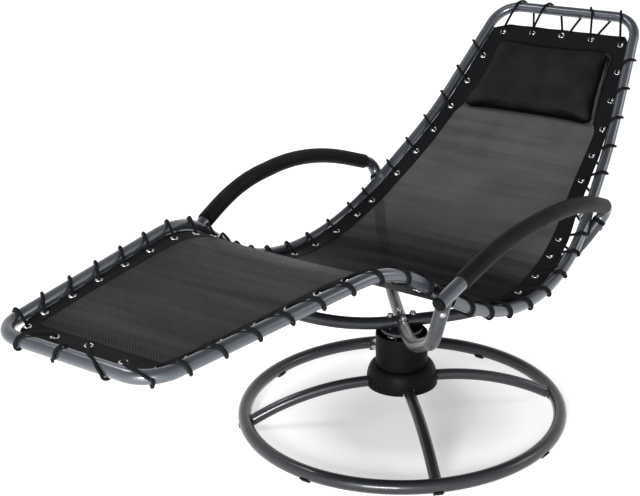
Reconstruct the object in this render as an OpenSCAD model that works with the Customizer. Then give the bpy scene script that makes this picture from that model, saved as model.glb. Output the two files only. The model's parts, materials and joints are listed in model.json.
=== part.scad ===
// Rocking sun lounger: a laced mesh sling on a bent tube frame with arm rests,
// which rocks on a sprung pivot and swivels on a round floor ring.
// Millimetres. +Z is up, +X is the head end, and the origin is on the swivel axis at the floor.

/* [Seat frame] */
// Diameter of the seat frame's tube
frame_d = 25; // [22:0.5:28]
// Foot bar: distance from the swivel axis
foot_x = 951; // [920:1:990]
// Foot bar: height of its centreline
foot_z = 517; // [490:1:540]
// Foot end: half the width between the rails
foot_half = 174; // [160:1:190]
// Radius of the foot end's corner bends
foot_r = 62; // [55:1:70]
// Knee bend: distance from the swivel axis
knee_x = 408; // [395:1:420]
// Knee bend: height of its corner
knee_z = 542; // [530:1:555]
// Knee bend: half the width between the rails
knee_half = 248; // [240:1:256]
// Radius of the knee bend
knee_r = 257; // [240:1:265]
// Seat bend: distance of its corner behind the swivel axis
seat_x = 29; // [22:1:36]
// Seat bend: height of its corner
seat_z = 231; // [222:1:240]
// Seat bend: half the width between the rails
seat_half = 336; // [328:1:344]
// Radius of the seat bend
seat_r = 499; // [480:1:505]
// Back bend: distance from the swivel axis
back_x = 513; // [500:1:525]
// Back bend: height of its corner
back_z = 543; // [532:1:555]
// Back bend: half the width between the rails
back_half = 244; // [236:1:252]
// Radius of the back bend
back_r = 822; // [780:1:860]
// Head bar: distance from the swivel axis
head_x = 765; // [750:1:790]
// Head bar: height of its centreline
head_z = 792; // [775:1:820]
// Head end: half the width between the rails
head_half = 188; // [175:1:200]
// Radius of the head end's corner bends
head_r = 68; // [60:1:75]

/* [Arm rests and bows] */
// Diameter of the arm and bow tubes
bow_d = 28; // [25:0.5:30]
// Clear space between the arm tube and the rail at the front spacer
arm_gap = 16.5; // [14:0.5:20]
// Front spacer: place along the straight rail below the knee
spacer_at = 131; // [120:1:140]
// Arm tube's open end: reach in front of the spacer
arm_lead = 33; // [28:1:38]
// Arm's front crest: distance in front of the swivel axis
crest_x = 142; // [130:1:155]
// Arm's front crest: height
crest_z = 529; // [522:1:536]
// Arm's front crest: half the width between the arms
crest_half = 332; // [326:1:338]
// Radius of the front crest
crest_r = 555; // [520:1:580]
// Arm's middle: distance behind the swivel axis
middle_x = 131; // [120:1:142]
// Arm's middle: height
middle_z = 534; // [528:1:540]
// Arm's middle: half the width between the arms
middle_half = 350; // [344:1:356]
// Radius of the arm's middle bend
middle_r = 670; // [640:1:700]
// Radius of the arm's elbow
elbow_r = 30; // [26:1:34]
// Rear bolt: place along the straight rail above the seat
strut_at = 360; // [356:1:370]
// Elbow's corner: distance up the strut from the rear bolt
elbow_up = 50; // [49:1:56]
// Thickness of the washer between the strut and the rail
strut_gap = 2; // [1.5:0.25:3]
// Slope of the bow's rear strut
strut_slope = 53; // [50:0.5:56]
// Height of the bows' flat bottom, at the tube's centre
bow_z = 228; // [226:0.5:234]
// Bow's front bend: distance from the crossing
bow_front = 140; // [130:1:150]
// Slope of the bow's front leg
front_slope = 26; // [24:0.5:28]
// Bow's upper front bend: distance from the crossing
bow_top = 440; // [432:1:448]
// Radius of the bow's rear bend
bow_rear_r = 430; // [400:1:436]
// Radius of the bow's front bend
bow_front_r = 540; // [500:1:560]
// Radius of the bow's upper front bend
bow_top_r = 60; // [45:1:70]
// Thickness of the foam on the arm tube
foam_t = 3.5; // [2.5:0.5:6]
// Bare tube in front of the foam
foam_from = 68; // [55:1:80]
// Length of the sleeve between the arm and the bow
sleeve_len = 10; // [8:1:10]

/* [Base] */
// Radius of the floor ring's centreline
ring_r = 355; // [340:1:370]
// Diameter of the floor ring's tube
ring_d = 30; // [28:0.5:32]
// Height of a glide under the ring
glide_h = 3; // [2:0.5:4]
// Number of glides
glide_n = 8; // [6:1:12]
// Number of spokes
spoke_n = 4; // [4]
// Diameter of a spoke's tube
spoke_d = 25; // [22:0.5:26]
// Height of the spokes at the hub
spoke_z = 89; // [86:1:92]
// Length of a spoke's level stretch from the swivel axis
spoke_level = 70; // [60:1:80]
// Radius of the hub tube
hub_r = 30; // [28:0.5:33]
// Height of the hub tube
hub_h = 40; // [36:1:44]
// Radius of the spindle
spindle_r = 12.5; // [11:0.5:14]
// Wall of the swivel bush
bush_t = 3.5; // [3:0.5:4.5]
// Radius of the hub skirt at its hem
skirt_r = 80; // [76:1:84]
// Radius of the skirt's ledge
ledge_r = 64; // [63:0.5:68]
// Height of the skirt
skirt_h = 47; // [45:1:50]
// Radius of the drum
drum_r = 58; // [56:0.5:60]
// Height of the drum
drum_h = 83; // [80:1:84]
// Wall of the drum and the skirt
shell_t = 2.5; // [2:0.25:3]

/* [Rocker] */
// Height of the pivot pin
pivot_z = 190; // [188:0.5:191]
// Radius of the pivot pin
pin_r = 6; // [5:0.25:6.5]
// Thickness of the rocker plate and the brackets
plate_t = 5.7; // [5:0.1:6]
// Radius of the rocker plate
rocker_r = 46; // [44:0.5:48]
// Distance of the crossing's bolts from the swivel axis
cross_bolt = 26; // [24:0.5:28]
// Distance of the springs from the swivel axis
spring_x = 37; // [36:0.5:38]
// Radius of a spring's coil, at the wire's centre
spring_r = 9; // [8.5:0.25:9.5]
// Diameter of a spring's wire
wire_d = 3.5; // [3:0.25:3.75]
// Turns of a spring
spring_turns = 6; // [5:0.5:8]

/* [Sling and lacing] */
// Thickness of the mesh cloth's hem
cloth_t = 2; // [1.5:0.1:3]
// Clear gap between the rails and the cloth
cloth_gap = 1.5; // [1.25:0.25:3]
// Widening of that gap beside the arms' rear struts
gap_more = 5.5; // [3:0.5:7]
// Clear gap between the head bar and the cloth
head_gap = 40; // [35:1:50]
// Rise of the cloth's middle over the seat bend and its fall over the knee
cloth_lift = 9; // [4:1:12]
// Height of the cloth's edge below the rails' centrelines
edge_drop = 5; // [2:0.5:6]
// Height of the cloth's edge above the rails' centrelines behind the seat bend
edge_rise = 7.5; // [4:0.5:9]
// Distance of the eyelets from the rail's centreline along the leg
eye_leg = 22.5; // [22.5:0.5:25]
// The same along the seat
eye_seat = 39.5; // [36:0.5:42]
// The same along the head
eye_head = 27.5; // [27:0.5:32]
// Outer radius of an eyelet
eyelet_r = 8; // [7:0.25:8.5]
// Radius of an eyelet's hole
eyelet_hole = 4.3; // [4:0.1:4.6]
// Diameter of the lacing cord
cord_d = 6; // [5:0.25:6.25]
// Number of loops along a rail
loop_n = 24; // [20:1:26]
// First loop: distance from the foot bar
first_loop = 63; // [60:1:70]
// Last loop: distance from the head bar
last_loop = 118; // [105:1:130]
// Distance along the rail from an eyelet to its loop
loop_shift = 38; // [32:1:40]
// Spacing of the eyelets along the head
head_pitch = 81; // [74:1:82]
// Length of the pillow along the back
pillow_len = 210; // [190:1:220]
// Width of the pillow at its lower edge
pillow_w = 346; // [320:1:350]
// The pillow's width at its lower edge less its width at the top
pillow_taper = 56; // [40:1:70]
// Thickness of the pillow
pillow_t = 42; // [30:1:55]
// Distance of the pillow from the cloth's head edge
pillow_in = 56; // [50:1:70]
// Shift of the pillow to the sitter's left
pillow_shift = 14; // [0:1:16]

/* [Hidden] */
$fn = 48;

// Gap of a welded or seated joint, and of cloth that lies on something
weld_gap = 0.1;
soft_gap = 0.3;
// Radial clearance of a running fit, and of a bolt in its hole
run_fit = 0.05;
bolt_fit = 0.25;

frame_tube = frame_d / 2;
bow_tube = bow_d / 2;
ring_tube = ring_d / 2;
spoke_tube = spoke_d / 2;
cord_r = cord_d / 2;

FRAME_GREY = [0.24, 0.26, 0.29];
BASE_GREY = [0.13, 0.14, 0.15];
BLACK = [0.05, 0.05, 0.055];
CLOTH = [0.22, 0.21, 0.23];
STEEL = [0.72, 0.73, 0.74];

// Routes of bent tubes: a list of corners V, and a bend radius R for each corner.

function unit(v) = v / norm(v);
function turn(V, i) = acos(unit(V[i] - V[i - 1]) * unit(V[i + 1] - V[i]));
function is_end(V, i) = i <= 0 || i >= len(V) - 1;
function setback(V, R, i) = is_end(V, i) ? 0 : R[i] * tan(turn(V, i) / 2);
function run_start(V, R, i) = V[i] + unit(V[i + 1] - V[i]) * setback(V, R, i);
function run_len(V, R, i) = norm(V[i + 1] - V[i]) - setback(V, R, i) - setback(V, R, i + 1);
function arc_len(V, R, i) = is_end(V, i) ? 0 : R[i] * turn(V, i) * PI / 180;
function route_len(V, R, i = 0) = i > len(V) - 2 ? 0
    : arc_len(V, R, i) + run_len(V, R, i) + route_len(V, R, i + 1);

// Point on the bend at corner i, at the distance s from the bend's start
function on_arc(V, R, i, s) =
    let (a = unit(V[i] - V[i - 1]), b = unit(V[i + 1] - V[i]), n = unit(b - a * (a * b)),
         start = V[i] - a * setback(V, R, i), g = s / R[i] * 180 / PI)
    start + a * R[i] * sin(g) + n * R[i] * (1 - cos(g));

// Point at the distance s along the whole route
function at(V, R, s, i = 0) =
    let (run = run_len(V, R, i))
    s <= run || i == len(V) - 2 ? run_start(V, R, i) + unit(V[i + 1] - V[i]) * s
    : let (s1 = s - run, arc = arc_len(V, R, i + 1))
      s1 <= arc ? on_arc(V, R, i + 1, s1) : at(V, R, s1 - arc, i + 1);

// Turns +Z to the direction d at the point p
module along(p, d) {
    translate(p) rotate([0, acos(d[2] / norm(d)), atan2(d[1], d[0])]) children();
}

// Straight runs and bends stop just short of each other, inside a thin ring that joins them
seam_gap = 0.3;
seam_w = 1.2;
seam_rise = 0.05;

// Solid bend at corner i
module bend(V, R, i, r) {
    a = unit(V[i] - V[i - 1]);
    b = unit(V[i + 1] - V[i]);
    n = unit(b - a * (a * b));
    z = cross(a, n);
    o = V[i] - a * setback(V, R, i) + n * R[i];
    skip = seam_gap / R[i] * 180 / PI;
    multmatrix([
        [-n[0], a[0], z[0], o[0]],
        [-n[1], a[1], z[1], o[1]],
        [-n[2], a[2], z[2], o[2]],
        [0, 0, 0, 1]
    ])
        rotate([0, 0, skip])
            rotate_extrude(angle = turn(V, i) - 2 * skip, $fn = 96)
                translate([R[i], 0]) circle(r);
}

module seam(p, d, r) {
    along(p - d * seam_w / 2, d) cylinder(h = seam_w, r = r + seam_rise);
}

// Solid tube of radius r along a route
module bent_tube(V, R, r) {
    last = len(V) - 2;
    for (i = [0 : last]) {
        d = unit(V[i + 1] - V[i]);
        start = run_start(V, R, i);
        run = run_len(V, R, i);
        from = i == 0 ? 0 : seam_gap;
        to = i == last ? run : run - seam_gap;
        along(start + d * from, d) cylinder(h = to - from, r = r);
        if (i > 0) seam(start, d, r);
        if (i < last) seam(start + d * run, d, r);
    }
    for (i = [1 : 1 : last])
        bend(V, R, i, r);
}

// Side copies: -1 is the sitter's left, 1 the right
module to_side(side) {
    scale([1, side, 1]) children();
}
function flip(p, side) = [p[0], side * p[1], p[2]];
function flip_all(V, side) = [for (p = V) flip(p, side)];

// Seat frame: corners of the right rail, from the foot bar to the head bar

foot_p = [-foot_x, foot_half, foot_z];
knee_p = [-knee_x, knee_half, knee_z];
seat_p = [seat_x, seat_half, seat_z];
back_p = [back_x, back_half, back_z];
head_p = [head_x, head_half, head_z];

RAIL = [foot_p, knee_p, seat_p, back_p, head_p];
RAIL_R = [0, knee_r, seat_r, back_r, 0];
rail_len = route_len(RAIL, RAIL_R);

// Straight stretches that carry the arms, and the joints of the frame just past them
under_knee = unit(seat_p - knee_p);
above_seat = unit(back_p - seat_p);
spacer_p = knee_p + under_knee * spacer_at;
strut_p = seat_p + above_seat * strut_at;
front_past = 34;
rear_past = 90;
front_joint = knee_p + under_knee * min(
    spacer_at + front_past, norm(seat_p - knee_p) - setback(RAIL, RAIL_R, 2) - frame_tube
);
rear_joint = seat_p + above_seat * (strut_at + rear_past);

LEG = [
    front_joint, knee_p, foot_p, flip(foot_p, -1), flip(knee_p, -1), flip(front_joint, -1)
];
LEG_R = [0, knee_r, foot_r, foot_r, knee_r, 0];
BACK = [
    rear_joint, back_p, head_p, flip(head_p, -1), flip(back_p, -1), flip(rear_joint, -1)
];
BACK_R = [0, back_r, head_r, head_r, back_r, 0];
SEAT = [front_joint + under_knee * weld_gap, seat_p, rear_joint - above_seat * weld_gap];
SEAT_R = [0, seat_r, 0];

// Bows: the plan angle at which a strut on the way down to the axis just clears the rail

strut_off = frame_tube + bow_tube + strut_gap;
function strut_dir(angle) = [
    -cos(strut_slope) * cos(angle), -cos(strut_slope) * sin(angle), -sin(strut_slope)
];
function strut_out(angle) = -unit(cross(strut_dir(angle), above_seat));
function strut_angle(angle, tries) =
    let (p = strut_p + strut_out(angle) * strut_off)
    tries == 0 ? angle : strut_angle(atan2(p[1], p[0]), tries - 1);
bow_angle = strut_angle(41, 8);
bolt_dir = strut_out(bow_angle);
strut_c = strut_p + bolt_dir * strut_off;
down_strut = strut_dir(bow_angle);
elbow_p = strut_c - down_strut * elbow_up;

// Point of a bow's plane, s from the crossing towards the rear
function in_bow(s, z) = [s * cos(bow_angle), s * sin(bow_angle), z];
bow_rear = norm([strut_c[0], strut_c[1]]) - (strut_c[2] - bow_z) / tan(strut_slope);

// Arm: corners of the right one, from its open end to its joint with the bow

spacer_out = unit([0, 1, 0] - under_knee * under_knee[1]);
arm_at_spacer = spacer_p + spacer_out * (frame_tube + bow_tube + arm_gap);
crest_p = [-crest_x, crest_half, crest_z];
middle_p = [middle_x, middle_half, middle_z];
arm_dir = unit(crest_p - arm_at_spacer);
arm_tip = arm_at_spacer - arm_dir * arm_lead;
elbow_back = elbow_r * tan(acos(unit(elbow_p - middle_p) * down_strut) / 2);
elbow_tail = 4;
joint_p = elbow_p + down_strut * (elbow_back + elbow_tail);

ARM = [arm_tip, crest_p, middle_p, elbow_p, joint_p];
ARM_R = [0, crest_r, middle_r, elbow_r, 0];

// Bow: corners of the one from the right rear to the left front
bow_top_z = bow_z + (bow_top - bow_front) * tan(front_slope);
bow_end = flip(arm_tip + arm_dir * (bow_tube + 3.5), -1);
BOW = [
    joint_p + down_strut * weld_gap, in_bow(bow_rear, bow_z), in_bow(-bow_front, bow_z),
    in_bow(-bow_top, bow_top_z), bow_end
];
BOW_R = [0, bow_rear_r, bow_front_r, bow_top_r, 0];
cross_p = [0, 0, bow_z];
REAR_HALF = [BOW[0], BOW[1], cross_p];
FRONT_HALF = [cross_p, BOW[2], BOW[3], BOW[4]];
top_bolt_p = bow_end + unit(BOW[3] - bow_end) * (bow_tube + 14);
top_bolt_dir = unit(cross(BOW[3] - bow_end, [-sin(bow_angle), cos(bow_angle), 0]));

// Heights of the base and the rocker
ring_z = glide_h + ring_tube;
hub_z = spoke_z - hub_h / 2 + 1;
hub_top = hub_z + hub_h;
bush_r = spindle_r + bush_t;
bush_flange = 5;
flange_z = hub_top + bush_flange + soft_gap;
drum_z = flange_z + plate_t;
drum_top = drum_z + drum_h;
floor_z = drum_z + 3;
yoke_z = floor_z + 5;
flange_r = drum_r - 8;
rocker_z = bow_z - bow_tube - plate_t - weld_gap;
ear_in = 28;
ear_out = ear_in + plate_t;
cheek_in = ear_out + soft_gap;
cheek_out = cheek_in + 5;
bolt_r = 4;
screw_r = 3;
skirt_z = drum_z - 40;

module floor_ring() {
    color(BASE_GREY)
        translate([0, 0, ring_z])
            rotate_extrude($fn = 180) translate([ring_r, 0]) circle(ring_tube);
}

// A glide hugs the lower half of the ring and stands on a flat foot
module glide() {
    spread = 3.2;
    rotate([0, 0, -spread / 2])
        rotate_extrude(angle = spread, $fn = 180)
            difference() {
                union() {
                    intersection() {
                        translate([ring_r, ring_z]) circle(ring_tube + glide_h);
                        translate([ring_r - 30, 0]) square([60, ring_z - ring_tube * 0.6]);
                    }
                    translate([ring_r - 8, 0]) square([16, glide_h + 2]);
                }
                translate([ring_r, ring_z]) circle(ring_tube + weld_gap);
            }
}

module floor_glides() {
    color(BLACK)
        for (i = [0 : glide_n - 1])
            rotate([0, 0, i * 360 / glide_n]) glide();
}

// Route of a spoke in the XZ plane: level at the hub, then a downward sweep to the ring
spoke_reach = ring_r - ring_tube;
sweep_x = spoke_reach - spoke_level;
sweep_z = spoke_z - ring_z;
spoke_r = (sweep_x * sweep_x + sweep_z * sweep_z) / (2 * sweep_z);
spoke_turn = asin(sweep_x / spoke_r);
spoke_corner = spoke_level + spoke_r * tan(spoke_turn / 2);
spoke_tip = [spoke_reach, 0, ring_z] + [cos(spoke_turn), 0, -sin(spoke_turn)];
SPOKE = [[0, 0, spoke_z], [spoke_corner, 0, spoke_z], spoke_tip];

module spoke(k) {
    color(BASE_GREY)
        rotate([0, 0, 45 + k * 360 / spoke_n])
            difference() {
                bent_tube(SPOKE, [0, spoke_r, 0], spoke_tube);
                cylinder(h = 2 * spoke_z, r = hub_r + weld_gap);
                translate([0, 0, ring_z])
                    rotate_extrude($fn = 180) translate([ring_r, 0]) circle(ring_tube + weld_gap);
            }
}

module hub_tube() {
    color(BASE_GREY)
        translate([0, 0, hub_z])
            difference() {
                cylinder(h = hub_h, r = hub_r);
                translate([0, 0, -1]) cylinder(h = hub_h + 2, r = bush_r + run_fit);
            }
}

module swivel_bush() {
    color("ivory")
        difference() {
            union() {
                translate([0, 0, hub_z]) cylinder(h = hub_h, r = bush_r);
                translate([0, 0, hub_top]) cylinder(h = bush_flange, r = hub_r - 2);
            }
            translate([0, 0, hub_z - 1]) cylinder(h = hub_h + 10, r = spindle_r + run_fit);
        }
}

// Profile of the skirt's dome, from its hem in to its ledge
function dome(grow) = [
    for (a = [0 : 10 : 90])
        [ledge_r + grow + (skirt_r - ledge_r) * cos(a), skirt_z + (skirt_h + grow) * sin(a)]
];

module hub_skirt() {
    hole_r = drum_r + 1;
    color(BLACK)
        difference() {
            rotate_extrude($fn = 120)
                difference() {
                    polygon(concat([[hole_r, skirt_z]], dome(0), [[hole_r, skirt_z + skirt_h]]));
                    polygon(concat([[0, skirt_z - 1], [skirt_r - shell_t, skirt_z - 1]],
                                   dome(-shell_t), [[0, skirt_z + skirt_h - shell_t]]));
                }
            for (k = [0 : spoke_n - 1])
                rotate([0, 0, 45 + k * 360 / spoke_n]) {
                    translate([0, 0, spoke_z])
                        rotate([0, 90, 0]) cylinder(h = skirt_r + 10, r = spoke_tube + soft_gap);
                    translate([0, -spoke_tube - soft_gap, skirt_z - 1])
                        cube([skirt_r + 10, 2 * (spoke_tube + soft_gap), spoke_z - skirt_z + 1]);
                }
        }
}

// Groove and clip that keep the spindle in the hub
clip_t = 1.5;
clip_z = hub_z - soft_gap - clip_t;
clip_in = spindle_r - 1.5;

module yoke_screw_places() {
    for (a = [45 : 90 : 315])
        rotate([0, 0, a]) translate([flange_r - 10, 0, 0]) children();
}

module spindle() {
    color(STEEL)
        difference() {
            union() {
                translate([0, 0, clip_z - 3]) cylinder(h = flange_z - clip_z + 4, r = spindle_r);
                translate([0, 0, flange_z]) cylinder(h = plate_t, r = flange_r);
            }
            translate([0, 0, clip_z - run_fit])
                difference() {
                    cylinder(h = clip_t + 2 * run_fit, r = spindle_r + 1);
                    translate([0, 0, -1]) cylinder(h = clip_t + 3, r = clip_in - run_fit);
                }
            yoke_screw_places() translate([0, 0, flange_z - 1]) cylinder(h = 10, r = screw_r + bolt_fit);
        }
}

module spindle_clip() {
    color(STEEL)
        translate([0, 0, clip_z])
            difference() {
                cylinder(h = clip_t, r = spindle_r + 4);
                translate([0, 0, -1]) cylinder(h = clip_t + 2, r = clip_in);
                translate([0, -2, -1]) cube([spindle_r + 10, 4, clip_t + 2]);
            }
}

module drum() {
    color(BLACK)
        translate([0, 0, drum_z])
            difference() {
                rotate_extrude($fn = 120)
                    polygon([[0, 0], [drum_r - 2, 0], [drum_r, 2], [drum_r, drum_h - 1.5],
                             [drum_r - shell_t / 2, drum_h], [drum_r - shell_t, drum_h - 1],
                             [drum_r - shell_t, 5], [drum_r - shell_t - 2, 3], [0, 3]]);
                yoke_screw_places() translate([0, 0, -1]) cylinder(h = 10, r = screw_r + bolt_fit);
            }
}

// Outline of a bracket that tapers up or down to a round eye at the pivot
module eye_plate(rise, foot, eye) {
    circle(eye);
    polygon([[-eye, 0], [eye, 0], [foot, rise], [-foot, rise]]);
}

module at_pivot(y) {
    translate([0, y, pivot_z]) rotate([90, 0, 0]) children();
}

module yoke() {
    color(BASE_GREY)
        difference() {
            union() {
                translate([0, 0, floor_z]) cylinder(h = yoke_z - floor_z, r = flange_r);
                for (side = [-1, 1])
                    at_pivot(side > 0 ? cheek_out : -cheek_in)
                        linear_extrude(cheek_out - cheek_in)
                            eye_plate(yoke_z - 1 - pivot_z, 20, pin_r + 7);
            }
            at_pivot(60) cylinder(h = 120, r = pin_r + run_fit);
            yoke_screw_places() translate([0, 0, floor_z - 1]) cylinder(h = 10, r = screw_r + bolt_fit);
        }
}

module yoke_screws() {
    color(STEEL)
        yoke_screw_places() {
            translate([0, 0, flange_z + 1]) cylinder(h = yoke_z - flange_z, r = screw_r);
            translate([0, 0, yoke_z]) cylinder(h = 3.5, r1 = 5.5, r2 = 4.5);
        }
}

pin_end = cheek_out + 6;

module pivot_pin() {
    color(STEEL)
        difference() {
            union() {
                at_pivot(pin_end) cylinder(h = 2 * cheek_out + 6, r = pin_r);
                at_pivot(-cheek_out) cylinder(h = 4, r = pin_r + 3);
            }
            at_pivot(cheek_out + soft_gap + clip_t)
                difference() {
                    cylinder(h = clip_t, r = pin_r + 1);
                    translate([0, 0, -1]) cylinder(h = clip_t + 2, r = pin_r - 1);
                }
        }
}

module pin_clip() {
    color(STEEL)
        at_pivot(cheek_out + soft_gap + clip_t - run_fit)
            difference() {
                cylinder(h = clip_t - 2 * run_fit, r = pin_r + 3);
                translate([0, 0, -1]) cylinder(h = clip_t + 2, r = pin_r - 1 + run_fit);
                translate([0, -1.5, -1]) cube([pin_r + 5, 3, clip_t + 2]);
            }
}

// Closed tube along a list of points, with a ring of six corners at each point

tube_sides = 6;

function tangents(P) = [
    for (i = [0 : len(P) - 1])
        unit(P[min(i + 1, len(P) - 1)] - P[max(i - 1, 0)])
];
function square_to(n, t) = unit(n - t * (n * t));
// Side directions, each carried on from the ring before it
function normals(T) = [
    for (i = 0, n = square_to(cross(T[0], [0.3, 0.2, 0.9]), T[0]);
         i < len(T);
         i = i + 1, n = i < len(T) ? square_to(n, T[i]) : n) n
];

module swept_tube(P, r) {
    T = tangents(P);
    N = normals(T);
    k = tube_sides;
    last = (len(P) - 1) * k;
    points = [
        for (i = [0 : len(P) - 1])
            let (b = cross(T[i], N[i]))
            for (j = [0 : k - 1])
                P[i] + (N[i] * cos(j * 360 / k) + b * sin(j * 360 / k)) * r
    ];
    walls = [
        for (i = [0 : len(P) - 2], j = [0 : k - 1])
            let (a = i * k + j, b = i * k + (j + 1) % k)
            each [[a, a + k, b + k], [a, b + k, b]]
    ];
    start = [for (j = [1 : k - 2]) [0, j, j + 1]];
    end = [for (j = [1 : k - 2]) [last, last + j + 1, last + j]];
    polyhedron(points, concat(walls, start, end), convexity = 10);
}

// Least gap of a swept tube to itself, leaving out the rings nearest along it
function least_gap(P, r, skip) = min([
    for (i = [0 : len(P) - 1], j = [i + skip : 1 : len(P) - 1]) norm(P[i] - P[j])
]) - 2 * r;

// Spring: each end turn closes on the next, and the turns between share what is left
spring_h = rocker_z - yoke_z - 2 * weld_gap - wire_d;
close_rise = wire_d + 0.6;
open_rise = (spring_h - 2 * close_rise) / (spring_turns - 2);
function spring_z(turns) = turns < 1 ? close_rise * turns
    : turns > spring_turns - 1 ? spring_h - close_rise * (spring_turns - turns)
    : close_rise + open_rise * (turns - 1);
SPRING = [
    for (i = [0 : spring_turns * 8])
        let (a = i * 45)
        [spring_r * cos(a), spring_r * sin(a), yoke_z + weld_gap + wire_d / 2 + spring_z(i / 8)]
];

module rock_spring(x) {
    echo(least_gap_of_the_spring = least_gap(SPRING, wire_d / 2, 5));
    color(STEEL) translate([x, 0, 0]) swept_tube(SPRING, wire_d / 2);
}

module rocker_plate() {
    color(BASE_GREY)
        difference() {
            union() {
                translate([0, 0, rocker_z]) cylinder(h = plate_t, r = rocker_r);
                for (side = [-1, 1])
                    at_pivot(side > 0 ? ear_out : -ear_in)
                        linear_extrude(plate_t)
                            eye_plate(rocker_z + 1 - pivot_z, 19, pin_r + 6);
            }
            at_pivot(60) cylinder(h = 120, r = pin_r + run_fit);
            cross_bolt_places() translate([0, 0, rocker_z - 1]) cylinder(h = 10, r = bolt_r + bolt_fit);
        }
}

module cross_bolt_places() {
    for (side = [-1, 1], s = [-cross_bolt, cross_bolt])
        translate(flip(in_bow(s, 0), side)) children();
}

module rocker_bolts() {
    color(STEEL)
        cross_bolt_places() {
            translate([0, 0, rocker_z - 8]) cylinder(h = bow_z + bow_tube - rocker_z + 9, r = bolt_r);
            translate([0, 0, rocker_z - 6.5]) cylinder(h = 6.5 - weld_gap, r = 7.5, $fn = 6);
            translate([0, 0, bow_z + bow_tube + 0.7]) {
                cylinder(h = 1.3, r = 7.5);
                cylinder(h = 6, r = 6.5, $fn = 6);
            }
        }
}

module cross_bolt_holes() {
    cross_bolt_places()
        translate([0, 0, bow_z - bow_tube - 5]) cylinder(h = bow_d + 10, r = bolt_r + bolt_fit);
}

// Cuts a bow's top where it meets the arm, and the hole of its top bolt
module bow_front_cuts() {
    bent_tube([flip(ARM[0] - arm_dir * 20, -1), flip(ARM[1], -1)], [0, 0], bow_tube + weld_gap);
    along(top_bolt_p - top_bolt_dir * 30, top_bolt_dir) cylinder(h = 60, r = bolt_r + bolt_fit);
}

module cross_bow_long() {
    color(FRAME_GREY)
        to_side(1)
            difference() {
                bent_tube(BOW, BOW_R, bow_tube);
                bow_front_cuts();
                cross_bolt_holes();
                rail_bolt_holes();
            }
}

// The other bow is in two halves that meet the long one at the crossing
module cross_bow_half(V, R) {
    color(FRAME_GREY)
        to_side(-1)
            difference() {
                bent_tube(V, R, bow_tube);
                bent_tube([flip(BOW[1], -1), flip(BOW[2], -1)], [0, 0], bow_tube + weld_gap);
                cross_bolt_holes();
                bow_front_cuts();
                rail_bolt_holes();
            }
}

module cross_bow_front() {
    cross_bow_half(FRONT_HALF, [0, bow_front_r, bow_top_r, 0]);
}

module cross_bow_rear() {
    cross_bow_half(REAR_HALF, [0, bow_rear_r, 0]);
}

// Bolt with a domed head on one tube and a nut on the far side
module through_bolt(from_head, to_nut) {
    cylinder(h = from_head + to_nut + 4, r = bolt_r);
    translate([0, 0, -5])
        rotate_extrude() polygon([[0, 1], [2.5, 1.3], [4.5, 2.3], [6, 3.9], [6, 5], [0, 5]]);
    translate([0, 0, from_head + to_nut]) cylinder(h = 4.5, r = 6.5, $fn = 6);
}

module bow_bolts() {
    half = bow_tube + weld_gap;
    color(STEEL)
        for (side = [-1, 1])
            to_side(side)
                along(top_bolt_p - top_bolt_dir * half, top_bolt_dir) through_bolt(half, half);
}

// Holes through the rail, the arm tube and the spacer for their bolts
module rail_bolt_holes() {
    along(spacer_p - spacer_out * 30, spacer_out)
        cylinder(h = 30 + frame_tube + arm_gap + bow_tube, r = bolt_r + bolt_fit);
    along(strut_p - bolt_dir * 30, bolt_dir) cylinder(h = 90, r = bolt_r + bolt_fit);
}

module arm_tube(side) {
    color(FRAME_GREY)
        to_side(side)
            difference() {
                bent_tube(ARM, ARM_R, bow_tube);
                rail_bolt_holes();
            }
}

module joint_sleeve(side) {
    color(BLACK)
        to_side(side)
            along(joint_p - down_strut * elbow_tail, down_strut)
                difference() {
                    cylinder(h = sleeve_len, r = bow_tube + 1.5);
                    translate([0, 0, -1]) cylinder(h = sleeve_len + 2, r = bow_tube + run_fit);
                }
}

module arm_foam(side) {
    foam_r = bow_tube + foam_t;
    V = [arm_tip + arm_dir * foam_from, crest_p, middle_p, run_start(ARM, ARM_R, 2) + elbow_run];
    color(BLACK)
        to_side(side)
            difference() {
                bent_tube(V, [0, crest_r, middle_r, 0], foam_r);
                bent_tube(ARM, ARM_R, bow_tube + run_fit);
            }
}
elbow_run = unit(elbow_p - middle_p) * (run_len(ARM, ARM_R, 2) - 1);

module arm_cap(side) {
    cap_r = bow_tube;
    color(BLACK)
        to_side(side)
            along(arm_tip - arm_dir * weld_gap, -arm_dir)
                rotate_extrude()
                    polygon(concat([[0, 0], [cap_r, 0], [cap_r, 3]],
                                   [for (a = [15 : 15 : 90]) [cap_r - 5 + 5 * cos(a), 3 + 5 * sin(a)]],
                                   [[0, 8.6]]));
}

module arm_spacers() {
    color(BLACK)
        for (side = [-1, 1])
            to_side(side)
                difference() {
                    union() {
                        along(spacer_p, spacer_out) cylinder(h = frame_tube + arm_gap + bow_tube, r = 9);
                        along(strut_p, bolt_dir) cylinder(h = strut_off, r = 6.5);
                    }
                    bent_tube([knee_p, seat_p], [0, 0], frame_tube + weld_gap);
                    bent_tube([seat_p, back_p], [0, 0], frame_tube + weld_gap);
                    bent_tube([ARM[0], ARM[1]], [0, 0], bow_tube + weld_gap);
                    bent_tube([elbow_p, strut_c + down_strut * 60], [0, 0], bow_tube + weld_gap);
                    rail_bolt_holes();
                }
}

module rail_bolts() {
    reach = frame_tube + weld_gap;
    color(STEEL)
        for (side = [-1, 1])
            to_side(side) {
                along(spacer_p - spacer_out * reach, spacer_out) {
                    cylinder(h = reach + frame_tube + arm_gap + bow_tube - 1, r = bolt_r);
                    translate([0, 0, -4.5]) cylinder(h = 4.5, r = 6.5, $fn = 6);
                }
                along(strut_c + bolt_dir * (bow_tube + weld_gap), -bolt_dir)
                    through_bolt(bow_d + 2 * weld_gap, strut_gap + frame_d);
            }
}

module leg_frame() {
    color(FRAME_GREY)
        difference() {
            bent_tube(LEG, LEG_R, frame_tube);
            for (side = [-1, 1])
                to_side(side) rail_bolt_holes();
        }
}

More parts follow.
